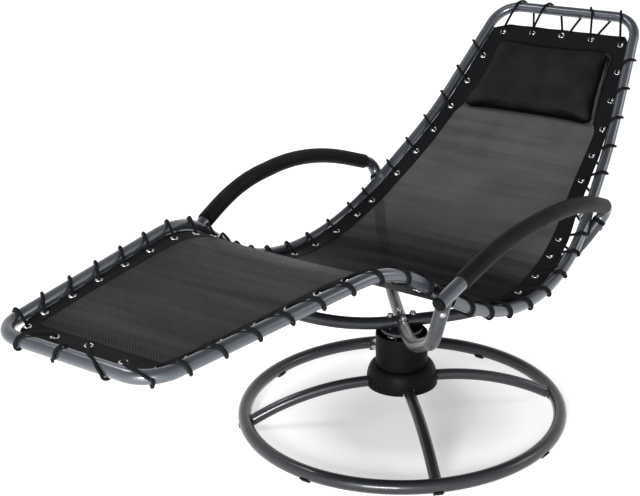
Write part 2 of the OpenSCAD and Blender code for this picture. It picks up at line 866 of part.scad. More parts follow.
module seat_rail(side) {
    color(FRAME_GREY)
        to_side(side)
            difference() {
                bent_tube(SEAT, SEAT_R, frame_tube);
                rail_bolt_holes();
            }
}

module back_frame() {
    color(FRAME_GREY) bent_tube(BACK, BACK_R, frame_tube);
}

// Sling: its surface follows the rails, level from side to side but for a slight lift

function rail_at(s) = at(RAIL, RAIL_R, s);
function rail_dir(s) =
    let (d = rail_at(s + 0.5) - rail_at(s - 0.5)) unit([d[0], 0, d[2]]);
function upright(t) = [-t[2], 0, t[0]];

function bump(s, centre, width) = abs(s - centre) >= width ? 0 : (1 + cos(180 * (s - centre) / width)) / 2;
function ease(s, from, to) =
    let (f = min(1, max(0, (s - from) / (to - from)))) f * f * (3 - 2 * f);

// Places along the rail: the knee, the spacer, the seat bend and the rear bolt
knee_s = run_len(RAIL, RAIL_R, 0) + arc_len(RAIL, RAIL_R, 1) / 2;
spacer_s = run_len(RAIL, RAIL_R, 0) + arc_len(RAIL, RAIL_R, 1) + spacer_at - setback(RAIL, RAIL_R, 1);
seat_s = knee_s + (arc_len(RAIL, RAIL_R, 1) + arc_len(RAIL, RAIL_R, 2)) / 2 + run_len(RAIL, RAIL_R, 1);
strut_s = rail_len - route_len(RAIL, RAIL_R, 3) - run_len(RAIL, RAIL_R, 2) + strut_at
    - setback(RAIL, RAIL_R, 2);
rise_s = seat_s + 250;

// The edge keeps clear of the bolts' inner ends
bolt_reach = 45;
function edge_in(s) = frame_tube + cloth_gap + gap_more * bump(s, strut_s + 15, 290)
    + 6 * bump(s, spacer_s, bolt_reach) + 2 * bump(s, strut_s, bolt_reach);
cloth_from = edge_in(0);
cloth_to = rail_len - frame_tube - head_gap;
corner_c = foot_half - foot_r;
corner_r = foot_r - cloth_from;

// Half the cloth's width at the distance s from the foot bar, rounded at the foot's corners
function cloth_half(s) =
    let (straight = rail_at(s)[1] - edge_in(s))
    s >= foot_r ? straight
    : min(straight, corner_c + sqrt(max(0, corner_r * corner_r - (foot_r - s) * (foot_r - s))));

// The taut cloth is drawn down at the knee and lifts off the bend behind the seat
knee_pull = 5;
function edge_w(s) = -edge_drop + (edge_drop + edge_rise) * bump(s, rise_s, 420)
    - knee_pull * bump(s, knee_s + 25, 160);
function lift(s) = cloth_lift * (bump(s, seat_s, 380) - bump(s, knee_s, 160));

// Point on the cloth: s along the rail, y across, w above its middle surface
function on_cloth(s, y, w) =
    let (p = rail_at(s), n = upright(rail_dir(s)), share = y / cloth_half(s))
    [p[0], y, p[2]] + n * (w + edge_w(s) + lift(s) * (1 - share * share));

cloth_columns = 72;
ROW_SHARES = [-1, -0.88, -0.45, 0, 0.45, 0.88, 1];
cloth_rows = len(ROW_SHARES) - 1;
// Columns are closer together at the foot, whose corners are round
function column_s(i) =
    let (t = i / cloth_columns, near = 5 / cloth_columns)
    t < near ? cloth_from + (foot_r - cloth_from) * (1 - cos(90 * t / near))
    : foot_r + (cloth_to - foot_r) * (t - near) / (1 - near);

module cloth_slab() {
    n = cloth_rows + 1;
    side_points = (cloth_columns + 1) * n;
    points = [
        for (w = [-cloth_t / 2, cloth_t / 2], i = [0 : cloth_columns], j = [0 : cloth_rows])
            let (s = column_s(i))
            on_cloth(s, cloth_half(s) * ROW_SHARES[j], w)
    ];
    flat = [
        for (i = [0 : cloth_columns - 1], j = [0 : cloth_rows - 1])
            let (a = i * n + j, b = a + n)
            each [[a, a + 1, b + 1], [a, b + 1, b]]
    ];
    top = [for (f = flat) [f[2], f[1], f[0]] + [1, 1, 1] * side_points];
    rim = concat(
        [for (j = [0 : cloth_rows - 1]) j],
        [for (i = [0 : cloth_columns - 1]) i * n + cloth_rows],
        [for (j = [cloth_rows : -1 : 1]) cloth_columns * n + j],
        [for (i = [cloth_columns : -1 : 1]) i * n]
    );
    wall = [
        for (i = [0 : len(rim) - 1])
            let (a = rim[i], b = rim[(i + 1) % len(rim)])
            each [[a, a + side_points, b + side_points], [a, b + side_points, b]]
    ];
    polyhedron(points, concat(flat, top, wall), convexity = 10);
}

// Places of the loops along a rail: closer over the seat than over the leg and the back
leg_pitch = 74;
seat_pitch = 68.5;
back_pitch = 81;
leg_loops = round(loop_n / 3);
seat_loops = leg_loops + round(loop_n / 6);
function steps(i) = leg_pitch * min(i, leg_loops)
    + seat_pitch * max(0, min(i, seat_loops) - leg_loops) + back_pitch * max(0, i - seat_loops);
function loop_share(i) = first_loop
    + (rail_len - last_loop - first_loop) * steps(i) / steps(loop_n - 1);
// A loop that would sit on a spacer or under a strut moves down the rail
function kept_clear(s, place, room) = abs(s - place) < room ? place - room : s;
function loop_at(i) = kept_clear(kept_clear(loop_share(i), spacer_s, 22), strut_s, 44);
SIDE_LOOPS = [for (i = [0 : loop_n - 1]) loop_at(i)];

// An eyelet's place is its distance along the rail and its place across.
// The ones at the head sit a little nearer the left rail.
eyelet_from = cloth_from + 4 * eyelet_r;
function eye_in(s, side) = eye_leg + (eye_seat - eye_leg) * ease(s, knee_s - 395, knee_s + 105)
    - (eye_seat - eye_head) * ease(s, strut_s + 45, strut_s + 325)
    + side * 4 * ease(s, strut_s + 165, strut_s + 345);
function side_eye(i, side) =
    let (s = max(eyelet_from, SIDE_LOOPS[i] - loop_shift))
    [s, side * min(rail_at(s)[1] - eye_in(s, side), cloth_half(s) - eyelet_r - 1)];
function side_eyes(side) = [for (i = [0 : loop_n - 1]) side_eye(i, side)];
head_shift = -7;
HEAD_EYES = [for (i = [2 : -1 : -2]) [cloth_to - 17 - 2 * i * i, head_shift + i * head_pitch]];
FOOT_EYES = [[cloth_from + 28, 78], [cloth_from + 34, 6], [cloth_from + 20, -84]];

// Turns +Z to the cloth's face at an eyelet
module at_eye(eye) {
    p = on_cloth(eye[0], eye[1], 0);
    t = unit(on_cloth(eye[0] + 1, eye[1], 0) - on_cloth(eye[0] - 1, eye[1], 0));
    n = unit(cross(t, on_cloth(eye[0], eye[1] + 1, 0) - on_cloth(eye[0], eye[1] - 1, 0)));
    c = cross(n, t);
    multmatrix([
        [t[0], c[0], n[0], p[0]],
        [t[1], c[1], n[1], p[1]],
        [t[2], c[2], n[2], p[2]],
        [0, 0, 0, 1]
    ]) children();
}

ALL_EYES = concat(side_eyes(-1), side_eyes(1), HEAD_EYES, FOOT_EYES);
barrel_r = eyelet_hole + 0.9;

module sling() {
    color(CLOTH)
        difference() {
            cloth_slab();
            for (eye = ALL_EYES)
                at_eye(eye) translate([0, 0, -6]) cylinder(h = 12, r = barrel_r + weld_gap, $fn = 24);
        }
}

// Clear space under an eyelet's flanges, where the cloth curves
flange_gap = 0.6;

// Eyelet: a barrel through the cloth with a rolled flange on each face
module eyelet() {
    low = cloth_t / 2 + flange_gap;
    high = low + 1.2;
    rotate_extrude($fn = 32)
        polygon([[eyelet_hole, -high], [eyelet_r - 0.5, -high], [eyelet_r, -low], [barrel_r, -low],
                 [barrel_r, low], [eyelet_r, low], [eyelet_r - 0.5, high], [eyelet_hole, high]]);
}

module eyelets(eyes) {
    color(STEEL)
        for (eye = eyes)
            at_eye(eye) eyelet();
}

// Lacing: up through an eyelet, over and round the tube, and back under it to the next eyelet.
// place(s, u, w) is the point at s along the tube, u in from its centreline and w above it.

wrap_r = (frame_tube + cord_r + 0.2) / cos(27.5);
eye_rise = cord_r + 2.4;
WRAP = [[70, 0.5], [125, 0.8], [180, 1], [235, 0.2], [290, 0.5]];
function mix(a, b, f) = a + (b - a) * f;
function through(eye, up) = [for (w = [-1, 1]) on_cloth(eye[0], eye[1], up * w * eye_rise)];

// Over the tube, or under it first where up is -1
function wrap(from, loop, to, place, up) = [
    for (w = WRAP)
        place(w[0] <= 180 ? mix(from, loop, w[1]) : mix(loop, to, w[1]),
              wrap_r * cos(w[0]), up * wrap_r * sin(w[0]))
];

function side_place(side) = function (s, u, w)
    let (p = rail_at(s), n = upright(rail_dir(s)))
    [p[0], side * (p[1] - u), p[2]] + n * w;

function side_lacing(side) =
    let (place = side_place(side), E = side_eyes(side), last = loop_n - 1,
         after = E[last][0] + 2 * loop_shift, end = SIDE_LOOPS[last] + loop_shift * 0.8)
    concat(
        [on_cloth(E[0][0], E[0][1], -14)],
        [
            for (i = [0 : last])
                each concat(through(E[i], 1),
                            wrap(E[i][0], SIDE_LOOPS[i], i < last ? E[i + 1][0] : after, place, 1))
        ],
        [place(end, edge_in(end) + 2, -wrap_r)]
    );

// Place along the head or foot bar, measured from its middle and round its corner bends
function bar_place(corner, inward, bend_r, straight) = function (t, u, w)
    let (f = unit(inward), n = upright(f[0] > 0 ? f : -f),
         a = max(0, abs(t) - straight) / bend_r * 180 / PI)
    [corner[0], 0, corner[2]] + f * (bend_r - (bend_r - u) * cos(a))
        + [0, sign(t) * (min(abs(t), straight) + (bend_r - u) * sin(a)), 0] + n * w;
head_place = bar_place(head_p, -rail_dir(rail_len - 1), head_r, head_half - setback(BACK, BACK_R, 2));
foot_place = bar_place(foot_p, rail_dir(1), foot_r, foot_half - setback(LEG, LEG_R, 2));

// Two cords lace each end from its middle eyelet out to the sides. One starts through that eyelet,
// and the other is tied on beside it.
tie_side = 9;
tail = 12;
function end_cord(eyes, loops, finish, place, up, tied) =
    let (last = len(loops) - 1, first = eyes[0],
         aside = first[1] + sign(loops[0] - first[1]) * tie_side)
    concat(
        tied ? [for (s = [tail, 0]) on_cloth(first[0] + s, aside, up * (eye_rise + 1))]
            : concat([on_cloth(first[0], first[1], -up * tail)], through(first, up)),
        wrap(first[1], loops[0], eyes[1][1], place, up),
        [
            for (i = [1 : last])
                each concat(through(eyes[i], up),
                            wrap(eyes[i][1], loops[i], i < last ? eyes[i + 1][1] : finish, place, up))
        ]
    );
function head_cord(eyes, loops, tied) =
    let (end = eyes[2])
    concat(end_cord(eyes, loops, end[1], head_place, -1, tied),
           through(end, -1), [on_cloth(end[0], end[1], -14)]);
HEAD_CORDS = [
    head_cord([for (i = [2, 1, 0]) HEAD_EYES[i]], [50, 126], false),
    head_cord([for (i = [2, 3, 4]) HEAD_EYES[i]], [-57, -136], true)
];
FOOT_CORDS = [
    end_cord([FOOT_EYES[1], FOOT_EYES[0]], [18, 109], 125, foot_place, 1, false),
    end_cord([FOOT_EYES[1], FOOT_EYES[2]], [-86, -168], -158, foot_place, 1, true)
];

module lacing(P) {
    echo(least_gap_of_the_lacing = least_gap(P, cord_r, 4));
    color(BLACK) swept_tube(P, cord_r);
}

// Pillow: crowned above and below, with sides that draw in between its corners

pillow_rows = 8;
pillow_columns = 12;
pillow_top = cloth_to - pillow_in;

function pillow_half(a) = (pillow_w - pillow_taper * (a + 1) / 2) / 2;
function crown(a, b) = pow(max(0, 1 - pow(abs(a), 3)), 0.6) * pow(max(0, 1 - pow(abs(b), 4)), 0.6);
function pillow_point(a, b, up) =
    let (draw_a = a * (1 - 0.05 * (1 - b * b)), draw_b = b * (1 - 0.04 * (1 - a * a)),
         s = pillow_top - pillow_len * (1 - draw_a) / 2,
         rise = up > 0 ? pillow_t * (0.28 + 0.72 * crown(a, b)) : pillow_t * 0.16 * (1 - crown(a, b)))
    on_cloth(s, draw_b * pillow_half(a) - pillow_shift, cloth_t / 2 + soft_gap + rise);

module pillow() {
    n = pillow_rows + 1;
    half = (pillow_columns + 1) * n;
    function spread(i, m) = sin(90 * (2 * i / m - 1));
    points = [
        for (up = [0, 1], i = [0 : pillow_columns], j = [0 : pillow_rows])
            pillow_point(spread(j, pillow_rows), spread(i, pillow_columns), up)
    ];
    low = [
        for (i = [0 : pillow_columns - 1], j = [0 : pillow_rows - 1])
            let (a = i * n + j, b = a + n)
            each [[a, b + 1, a + 1], [a, b, b + 1]]
    ];
    high = [for (f = low) [f[2], f[1], f[0]] + [1, 1, 1] * half];
    rim = concat(
        [for (j = [0 : pillow_rows - 1]) j],
        [for (i = [0 : pillow_columns - 1]) i * n + pillow_rows],
        [for (j = [pillow_rows : -1 : 1]) pillow_columns * n + j],
        [for (i = [pillow_columns : -1 : 1]) i * n]
    );
    wall = [
        for (i = [0 : len(rim) - 1])
            let (a = rim[i], b = rim[(i + 1) % len(rim)])
            each [[a, b + half, a + half], [a, b, b + half]]
    ];
    color(BLACK) polyhedron(points, concat(low, high, wall), convexity = 4);
}

floor_ring();
floor_glides();
for (k = [0 : spoke_n - 1])
    spoke(k);
hub_tube();
swivel_bush();
hub_skirt();
spindle();
spindle_clip();
drum();
yoke();
yoke_screws();
pivot_pin();
pin_clip();
rock_spring(-spring_x);  // rock_spring_front
rock_spring(spring_x);  // rock_spring_rear
rocker_plate();
rocker_bolts();
cross_bow_long();
cross_bow_front();
cross_bow_rear();
bow_bolts();
arm_tube(-1);  // arm_tube_left
arm_tube(1);  // arm_tube_right
joint_sleeve(-1);  // joint_sleeve_left
joint_sleeve(1);  // joint_sleeve_right
arm_foam(-1);  // arm_foam_left
arm_foam(1);  // arm_foam_right
arm_cap(-1);  // arm_cap_left
arm_cap(1);  // arm_cap_right
arm_spacers();
rail_bolts();
leg_frame();
seat_rail(-1);  // seat_rail_left
seat_rail(1);  // seat_rail_right
back_frame();
sling();
eyelets(side_eyes(-1));  // eyelets_left
eyelets(side_eyes(1));  // eyelets_right
eyelets(HEAD_EYES);  // eyelets_head
eyelets(FOOT_EYES);  // eyelets_foot
lacing(side_lacing(-1));  // lacing_left
lacing(side_lacing(1));  // lacing_right
for (k = [0, 1]) lacing(HEAD_CORDS[k]);  // lacing_head
for (k = [0, 1]) lacing(FOOT_CORDS[k]);  // lacing_foot
pillow();
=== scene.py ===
# %% [markdown]
# # A rocking sun lounger
# The lounger is a bent tube frame with a mesh sling laced into it, on a drum that swivels over a round floor ring.
# Its rigid pieces come from the CAD model and are never moved. This script gives every piece its finish, and makes
# anew what is soft: the sling with its hem and eyelets, the lacing, the pillow, the arm grips and the two springs.
# Everything is in metres, with +Z up, +X towards the head end and the origin on the swivel axis at the floor.

# %% Load the fixed frame
import json
import math

import bmesh
import bpy
from mathutils import Matrix, Vector


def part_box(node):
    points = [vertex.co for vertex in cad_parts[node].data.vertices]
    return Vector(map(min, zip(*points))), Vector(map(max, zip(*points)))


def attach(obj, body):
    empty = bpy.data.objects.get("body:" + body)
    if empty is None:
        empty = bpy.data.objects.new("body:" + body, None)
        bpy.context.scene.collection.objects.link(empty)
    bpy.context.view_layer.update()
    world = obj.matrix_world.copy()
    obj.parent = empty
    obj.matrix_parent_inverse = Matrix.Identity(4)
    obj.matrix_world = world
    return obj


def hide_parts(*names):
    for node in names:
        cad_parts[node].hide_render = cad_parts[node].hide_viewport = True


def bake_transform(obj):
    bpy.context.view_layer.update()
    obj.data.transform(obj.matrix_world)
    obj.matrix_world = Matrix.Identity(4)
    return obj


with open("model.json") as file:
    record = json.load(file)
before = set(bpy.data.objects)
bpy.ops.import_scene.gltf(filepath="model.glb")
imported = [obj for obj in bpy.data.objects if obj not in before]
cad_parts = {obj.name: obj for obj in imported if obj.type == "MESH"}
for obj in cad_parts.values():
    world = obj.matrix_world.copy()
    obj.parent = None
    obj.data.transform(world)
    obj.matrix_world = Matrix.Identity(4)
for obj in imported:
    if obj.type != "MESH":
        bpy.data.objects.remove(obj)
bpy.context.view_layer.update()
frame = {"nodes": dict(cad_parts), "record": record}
MM = 0.001

# %% [markdown]
# The camera stands where the photographer stood: to the foot end's left, a little above the arm rests.
# A long lens keeps the far rail nearly as large as the near one, as in the photograph.

# %% Camera
CAMERA_AZIMUTH = math.radians(-55.275)
CAMERA_ELEVATION = math.radians(20.517)
CAMERA_ROLL = math.radians(-0.709)
CAMERA_DISTANCE = 2.7466
CAMERA_TARGET = Vector((-0.10564, 0.0, 0.4314))


def add_camera():
    backward = Vector(
        (
            math.sin(CAMERA_AZIMUTH) * math.cos(CAMERA_ELEVATION),
            -math.cos(CAMERA_AZIMUTH) * math.cos(CAMERA_ELEVATION),
            math.sin(CAMERA_ELEVATION),
        )
    )
    level = Vector((math.cos(CAMERA_AZIMUTH), math.sin(CAMERA_AZIMUTH), 0))
    turn = Matrix.Rotation(CAMERA_ROLL, 3, backward)
    right = turn @ level
    upward = turn @ backward.cross(level)
    camera = bpy.data.objects.new("camera", bpy.data.cameras.new("camera"))
    camera.matrix_world = Matrix.Translation(CAMERA_TARGET + backward * CAMERA_DISTANCE) @ (
        Matrix((right, upward, backward)).transposed().to_4x4()
    )
    camera.data.lens = 73.754
    camera.data.sensor_width = 36
    camera.data.shift_x = -0.0835
    camera.data.shift_y = 0.0013
    camera.data.clip_end = 50
    bpy.context.scene.collection.objects.link(camera)
    bpy.context.scene.camera = camera


add_camera()
print("camera at", [round(x, 3) for x in bpy.context.scene.camera.matrix_world.translation])

# %% [markdown]
# A finish is a small tree of nodes in front of a Principled shader. Two helper classes keep the trees short to
# write: a Value is an output that can be used in plain sums, and a Finish adds any other node in one call.


# %% Helpers for finishes
class Value:
    """An output of a node. Sums with it add Math nodes."""

    def __init__(self, finish, socket):
        self.finish = finish
        self.socket = socket

    def math(self, operation, *numbers):
        return self.finish.node("ShaderNodeMath", {"operation": operation}, dict(enumerate(numbers)))

    def __add__(self, other):
        return self.math("ADD", self, other)

    def __sub__(self, other):
        return self.math("SUBTRACT", self, other)

    def __mul__(self, other):
        return self.math("MULTIPLY", self, other)

    def __abs__(self):
        return self.math("ABSOLUTE", self)

    def sine(self):
        return self.math("SINE", self)

    def at_least(self, other):
        return self.math("MAXIMUM", self, other)


class Finish:
    """A material with a Principled shader, and the nodes that feed it."""

    def __init__(self, name, color, roughness, metallic=0.0, **fixed):
        self.material = bpy.data.materials.new(name)
        self.material.use_nodes = True
        self.tree = self.material.node_tree
        self.shader = self.tree.nodes["Principled BSDF"]
        self.feed("Base Color", (*color, 1))
        self.feed("Roughness", roughness)
        self.feed("Metallic", metallic)
        for socket, value in fixed.items():
            self.feed(socket.replace("_", " ").title().replace("Ior", "IOR"), value)

    def feed(self, socket, value):
        """Sets one of the Principled shader's sockets, or links a Value to it."""
        self.put(self.shader.inputs[socket], value)

    def put(self, socket, value):
        if isinstance(value, Value):
            self.tree.links.new(value.socket, socket)
        else:
            socket.default_value = value

    def node(self, kind, settings=None, inputs=None, output=0):
        node = self.tree.nodes.new(kind)
        for name, setting in (settings or {}).items():
            setattr(node, name, setting)
        for key, value in (inputs or {}).items():
            self.put(node.inputs[key], value)
        return Value(self, node.outputs[output])

    def place(self, scale=(1, 1, 1)):
        """Object coordinates, in metres, stretched by a Mapping node."""
        coordinates = self.node("ShaderNodeTexCoord", output="Object")
        return self.node("ShaderNodeMapping", inputs={"Vector": coordinates, "Scale": scale})

    def noise(self, scale, detail=2.0, where=None):
        inputs = {"Vector": where or self.place(), "Scale": scale, "Detail": detail}
        return self.node("ShaderNodeTexNoise", inputs=inputs)

    def remap(self, value, low, high, new_low, new_high):
        inputs = {0: value, 1: low, 2: high, 3: new_low, 4: new_high}
        return self.node("ShaderNodeMapRange", inputs=inputs)

    def blend(self, factor, first, second):
        """A colour from the first at 0 to the second at 1."""
        colors = [c if isinstance(c, Value) else (*c, 1) for c in (first, second)]
        inputs = {0: factor, 6: colors[0], 7: colors[1]}
        return self.node("ShaderNodeMix", {"data_type": "RGBA"}, inputs, output=2)

    def along(self):
        """The piece's own UV map, in metres: across the piece, and along it."""
        both = self.node("ShaderNodeSeparateXYZ", inputs={0: self.node("ShaderNodeUVMap")})
        return both, Value(self, both.socket.node.outputs[1])

    def bump(self, height, depth, strength=1.0):
        """Raises the surface by height times depth, in metres."""
        inputs = {"Height": height, "Distance": depth, "Strength": strength}
        self.feed("Normal", self.node("ShaderNodeBump", inputs=inputs))


# %% [markdown]
# The frame's powder coat is a slate grey with fine metal flakes, and the base's is the same in gunmetal.
# The bows are darker than the rest of the frame in the photograph, and have a finish of their own: the frame's coat
# made darker, which is painted shade under the seat.
# Fine noise makes the flakes and the orange peel of baked powder, and broad noise makes some places duller.
# A thin clear coat over it gives the long bright streaks that a lamp draws along a tube.


# %% Powder coats
def powder_coat(name, color, flake, metallic, coat_weight):
    coat = Finish(name, color, 0.34, metallic, coat_weight=coat_weight, coat_roughness=0.07)
    flakes = coat.noise(2600, 1.0)
    cloud = coat.noise(5, 3.0)
    shine = coat.remap(flakes, 0.5, 0.75, 0, 1) * 0.5 + coat.remap(cloud, 0.3, 0.7, 0, 0.35)
    coat.feed("Base Color", coat.blend(shine, color, flake))
    coat.feed("Roughness", coat.remap(cloud + coat.noise(60, 2.0) * 0.5, 0.5, 1.0, 0.27, 0.4))
    coat.bump(coat.noise(420, 2.0), 0.00014, 0.5)
    return coat.material


FRAME_TUBE = powder_coat("slate_powder_coat", (0.046, 0.054, 0.067), (0.135, 0.15, 0.175), 0.66, 0.7)
BASE_TUBE = powder_coat("gunmetal_powder_coat", (0.017, 0.0185, 0.022), (0.055, 0.059, 0.066), 0.4, 0.3)
# The bows' coat is the frame's coat made darker: painted shade.
SHADED_BOW_TUBE = powder_coat("bow_tube", (0.019, 0.021, 0.026), (0.055, 0.06, 0.07), 0.45, 0.25)
WELD_BEAD = powder_coat("weld_bead", (0.015, 0.0165, 0.02), (0.04, 0.043, 0.048), 0.2, 0.05)

# %% [markdown]
# The caps, sleeves, drum and skirt are moulded from black plastic with a fine spark-eroded grain,
# the grips are closed-cell foam, and the bush is natural nylon. Deep black needs a weak reflection as well
# as a dark colour, so the specular level of the black finishes is low.


# %% Plastics and foam
def moulded(name, color, roughness, grain_scale, grain_depth, specular=0.5):
    plastic = Finish(name, color, roughness, specular_ior_level=specular)
    cloud = plastic.noise(9, 3.0)
    lighter = tuple(1.6 * c + 0.003 for c in color)
    plastic.feed("Base Color", plastic.blend(plastic.remap(cloud, 0.35, 0.75, 0, 1), color, lighter))
    plastic.feed("Roughness", plastic.remap(cloud, 0.3, 0.7, roughness - 0.06, roughness + 0.08))
    plastic.bump(plastic.noise(grain_scale, 2.0), grain_depth, 0.6)
    return plastic.material


def foam(name):
    foam = Finish(name, (0.008, 0.008, 0.009), 0.56, specular_ior_level=0.07)
    cells = foam.node("ShaderNodeTexVoronoi", inputs={"Vector": foam.place(), "Scale": 1100})
    worn = foam.noise(14, 4.0)
    rubbed = foam.remap(worn, 0.4, 0.8, 0, 1)
    foam.feed("Base Color", foam.blend(rubbed, (0.007, 0.007, 0.008), (0.017, 0.0165, 0.018)))
    foam.feed("Roughness", foam.remap(worn, 0.3, 0.7, 0.46, 0.6))
    foam.bump(cells, 0.0003, 0.6)
    return foam.material


BLACK_PLASTIC = moulded("black_moulding", (0.004, 0.004, 0.0045), 0.46, 1300, 0.00008, 0.045)
BUSH_NYLON = moulded("natural_nylon", (0.62, 0.6, 0.52), 0.42, 900, 0.00005)
GRIP_FOAM = foam("grip_foam")

# %% [markdown]
# The clips, pin, yoke screws and springs are zinc plated: bright, a little cloudy, with fine turning marks.
# The bolts in sight are plated dark. The eyelets are nickel, which stays a mirror with hairline scratches.


# %% Bare metals
def plated(name, color, roughness, scratch):
    metal = Finish(name, color, roughness, 1.0)
    cloud = metal.noise(120, 3.0)
    lines = metal.noise(1.0, 2.0, metal.place((900, 900, 60)))
    darker = tuple(0.72 * c for c in color)
    metal.feed("Base Color", metal.blend(metal.remap(cloud, 0.35, 0.7, 0, 1), color, darker))
    metal.feed("Roughness", metal.remap(lines * 0.6 + cloud * 0.4, 0.3, 0.7, roughness, roughness + 0.16))
    metal.bump(lines, scratch, 0.5)
    return metal.material


BRIGHT_STEEL = plated("zinc_plate", (0.4, 0.405, 0.41), 0.3, 0.00005)
BLACK_STEEL = plated("black_zinc_plate", (0.3, 0.3, 0.31), 0.2, 0.00004)
NICKEL = plated("nickel_plate", (0.74, 0.74, 0.73), 0.14, 0.00002)

# %% [markdown]
# The sling is woven from coated yarns a few millimetres wide, so it shows a fine slanting grid that glints, and
# a hint of what lies behind it. The pattern is drawn on the cloth's own UV map, which is in metres, so the yarns
# keep their size and bend with the cloth. Faint bands across it come from yarns that are a little tighter.
# Its tone also changes along it, darkest at the seat and lightest on the back. That is painted shade at the seat
# and painted light on the back, copying the light in the photograph, where white shows through the back, and is no
# change of cloth.


# %% Woven cloths
# Where the mesh's painted shade and painted light change, in metres along the sling.
KNEE_SHADE = (0.5, 0.64)
BACK_SHADE = (1.08, 1.25)


def woven(name, dark, light, pitch, rib, roughness, depth, specular, bands=0.0):
    cloth = Finish(name, dark, roughness, specular_ior_level=specular)
    across, along = cloth.along()
    warp = (across * (2 * math.pi / pitch)).sine()
    weft = (along * (2 * math.pi / pitch)).sine()
    over = ((across - along) * (2 * math.pi / rib)).sine()
    warp_up = cloth.remap(over, -0.4, 0.4, 0.25, 1)
    yarns = abs(warp) * warp_up + abs(weft) * cloth.remap(over, -0.4, 0.4, 1, 0.25)
    cloud = cloth.noise(11, 3.0)
    level = cloth.remap(yarns, 0.2, 1.3, 0, 0.6) + cloth.remap(over, -0.7, 0.7, 0, 0.4)
    level = level + cloth.remap(cloud, 0.3, 0.7, -0.1, 0.1)
    if bands:
        # Painted shade and light along the sling: the tone is scaled to 0.44 on the leg, 0.14 at the seat and about
        # 1 on the back.
        level = level * (cloth.remap(along, *KNEE_SHADE, 0.44, 0.14) + cloth.remap(along, *BACK_SHADE, 0, 0.9))
        tight = cloth.noise(1.0, 3.0, cloth.place((42, 2.5, 42)))
        level = level + cloth.remap(tight, 0.35, 0.65, -bands, bands)
    cloth.feed("Base Color", cloth.blend(level, dark, light))
    cloth.feed("Roughness", cloth.remap(cloud + yarns * 0.2, 0.4, 1.0, roughness - 0.05, roughness + 0.07))
    cloth.bump(yarns, depth, 0.8)
    return cloth


mesh_weave = woven(
    "mesh_weave", (0.006, 0.006, 0.007), (0.13, 0.128, 0.136), 0.0042, 0.0066, 0.42, 0.0005, 0.05, bands=0.12
)
# The mesh is also made more see-through on the back, so more white shows through there; the cloth is the same all
# along.
mesh_weave.feed("Alpha", mesh_weave.remap(mesh_weave.along()[1], *BACK_SHADE, 0.96, 0.87))
MESH_CLOTH = mesh_weave.material
hem_weave = woven("hem_tape", (0.004, 0.004, 0.005), (0.014, 0.014, 0.0155), 0.0016, 0.003, 0.5, 0.0002, 0.05)
HEM_CLOTH = hem_weave.material

# %% [markdown]
# The lacing is an elastic cord in a braided cover. Two families of strands wind round it in opposite
# directions, and where they cross one lies on the other. Its UV map runs round the cord and along it.


# %% Braided cord and pillow cover
def braided(name, dark, light, strands, pitch):
    cord = Finish(name, dark, 0.6, specular_ior_level=0.07)
    around, along = cord.along()
    turn = around * (2 * math.pi * strands)
    climb = along * (2 * math.pi / pitch)
    cover = (turn + climb).sine().at_least((turn - climb).sine())
    cord.feed("Base Color", cord.blend(cord.remap(cover, 0.2, 1.0, 0, 1), dark, light))
    cord.feed("Roughness", cord.remap(cord.noise(40, 3.0), 0.3, 0.7, 0.52, 0.7))
    cord.bump(cover, 0.0004, 0.8)
    return cord.material


def cover_cloth(name, dark, light, roughness, specular, side=None):
    """A close weave. Where the piece's side attribute is 1 it takes the side colour, which paints shade on it."""
    cover = Finish(name, dark, roughness, specular_ior_level=specular)
    threads = [
        cover.node("ShaderNodeTexWave", {"bands_direction": axis}, {"Vector": cover.place(), "Scale": 260})
        for axis in "XY"
    ]
    weave = threads[0] * 0.5 + threads[1] * 0.5
    cloud = cover.noise(16, 4.0)
    color = cover.blend(cover.remap(cloud + weave * 0.3, 0.4, 0.9, 0, 1), dark, light)
    if side:
        # The side colour is painted shade on the pillow's steep sides.
        panel = cover.node("ShaderNodeAttribute", {"attribute_name": "painted_side_shade"}, output="Fac")
        color = cover.blend(panel, color, side)
    cover.feed("Base Color", color)
    cover.feed("Roughness", cover.remap(cloud, 0.3, 0.7, roughness - 0.06, roughness + 0.06))
    cover.bump(weave, 0.00022, 0.6)
    return cover.material


BRAID = braided("braided_cover", (0.0025, 0.0025, 0.003), (0.01, 0.01, 0.0115), 4, 0.005)
# The pillow's side colour is painted shade for its steep sides.
PILLOW_CLOTH = cover_cloth(
    "pillow_cover", (0.008, 0.008, 0.0095), (0.02, 0.02, 0.023), 0.54, 0.05, side=(0.0015, 0.0015, 0.002)
)
PIPING_CLOTH = cover_cloth("pillow_piping", (0.008, 0.008, 0.009), (0.03, 0.03, 0.033), 0.36, 0.5)

# %% [markdown]
# Each CAD node keeps its shape and takes its finish through its material slot. The record names a slot for every
# node, so one table of finishes dresses them all, except the cross bows, which take a darker copy of the frame's
# coat as painted shade.

# %% Dress the CAD nodes
FINISHES = {
    "frame_tube": FRAME_TUBE,
    "base_tube": BASE_TUBE,
    "black_plastic": BLACK_PLASTIC,
    "bush_plastic": BUSH_NYLON,
    "arm_foam": GRIP_FOAM,
    "bright_steel": BRIGHT_STEEL,
    "black_steel": BLACK_STEEL,
    "eyelet_metal": NICKEL,
    "elastic_cord": BRAID,
    "mesh_cloth": MESH_CLOTH,
    "pillow_cloth": PILLOW_CLOTH,
}


def dress(piece, material):
    piece.data.materials.clear()
    piece.data.materials.append(material)


slot_of = {part["node"]: part["material_slot"] for part in frame["record"]["subparts"]}
for name, node in frame["nodes"].items():
    # The cross bows get the darker bow coat, which is painted shade.
    dress(node, SHADED_BOW_TUBE if name.startswith("cross_bow") else FINISHES[slot_of[name]])
print("dressed", len(slot_of), "nodes in", len(FINISHES), "finishes")

# %% [markdown]
# The soft pieces follow the seat frame, so they need the line of its rail. A tube bender makes a rail from
# straight runs joined by round bends, so the line is worked out here as a route with corners and radii,
# in millimetres, the same as in the CAD source.

# %% The route of a bent tube
FRAME_R = 12.5
BOW_R = 14.0


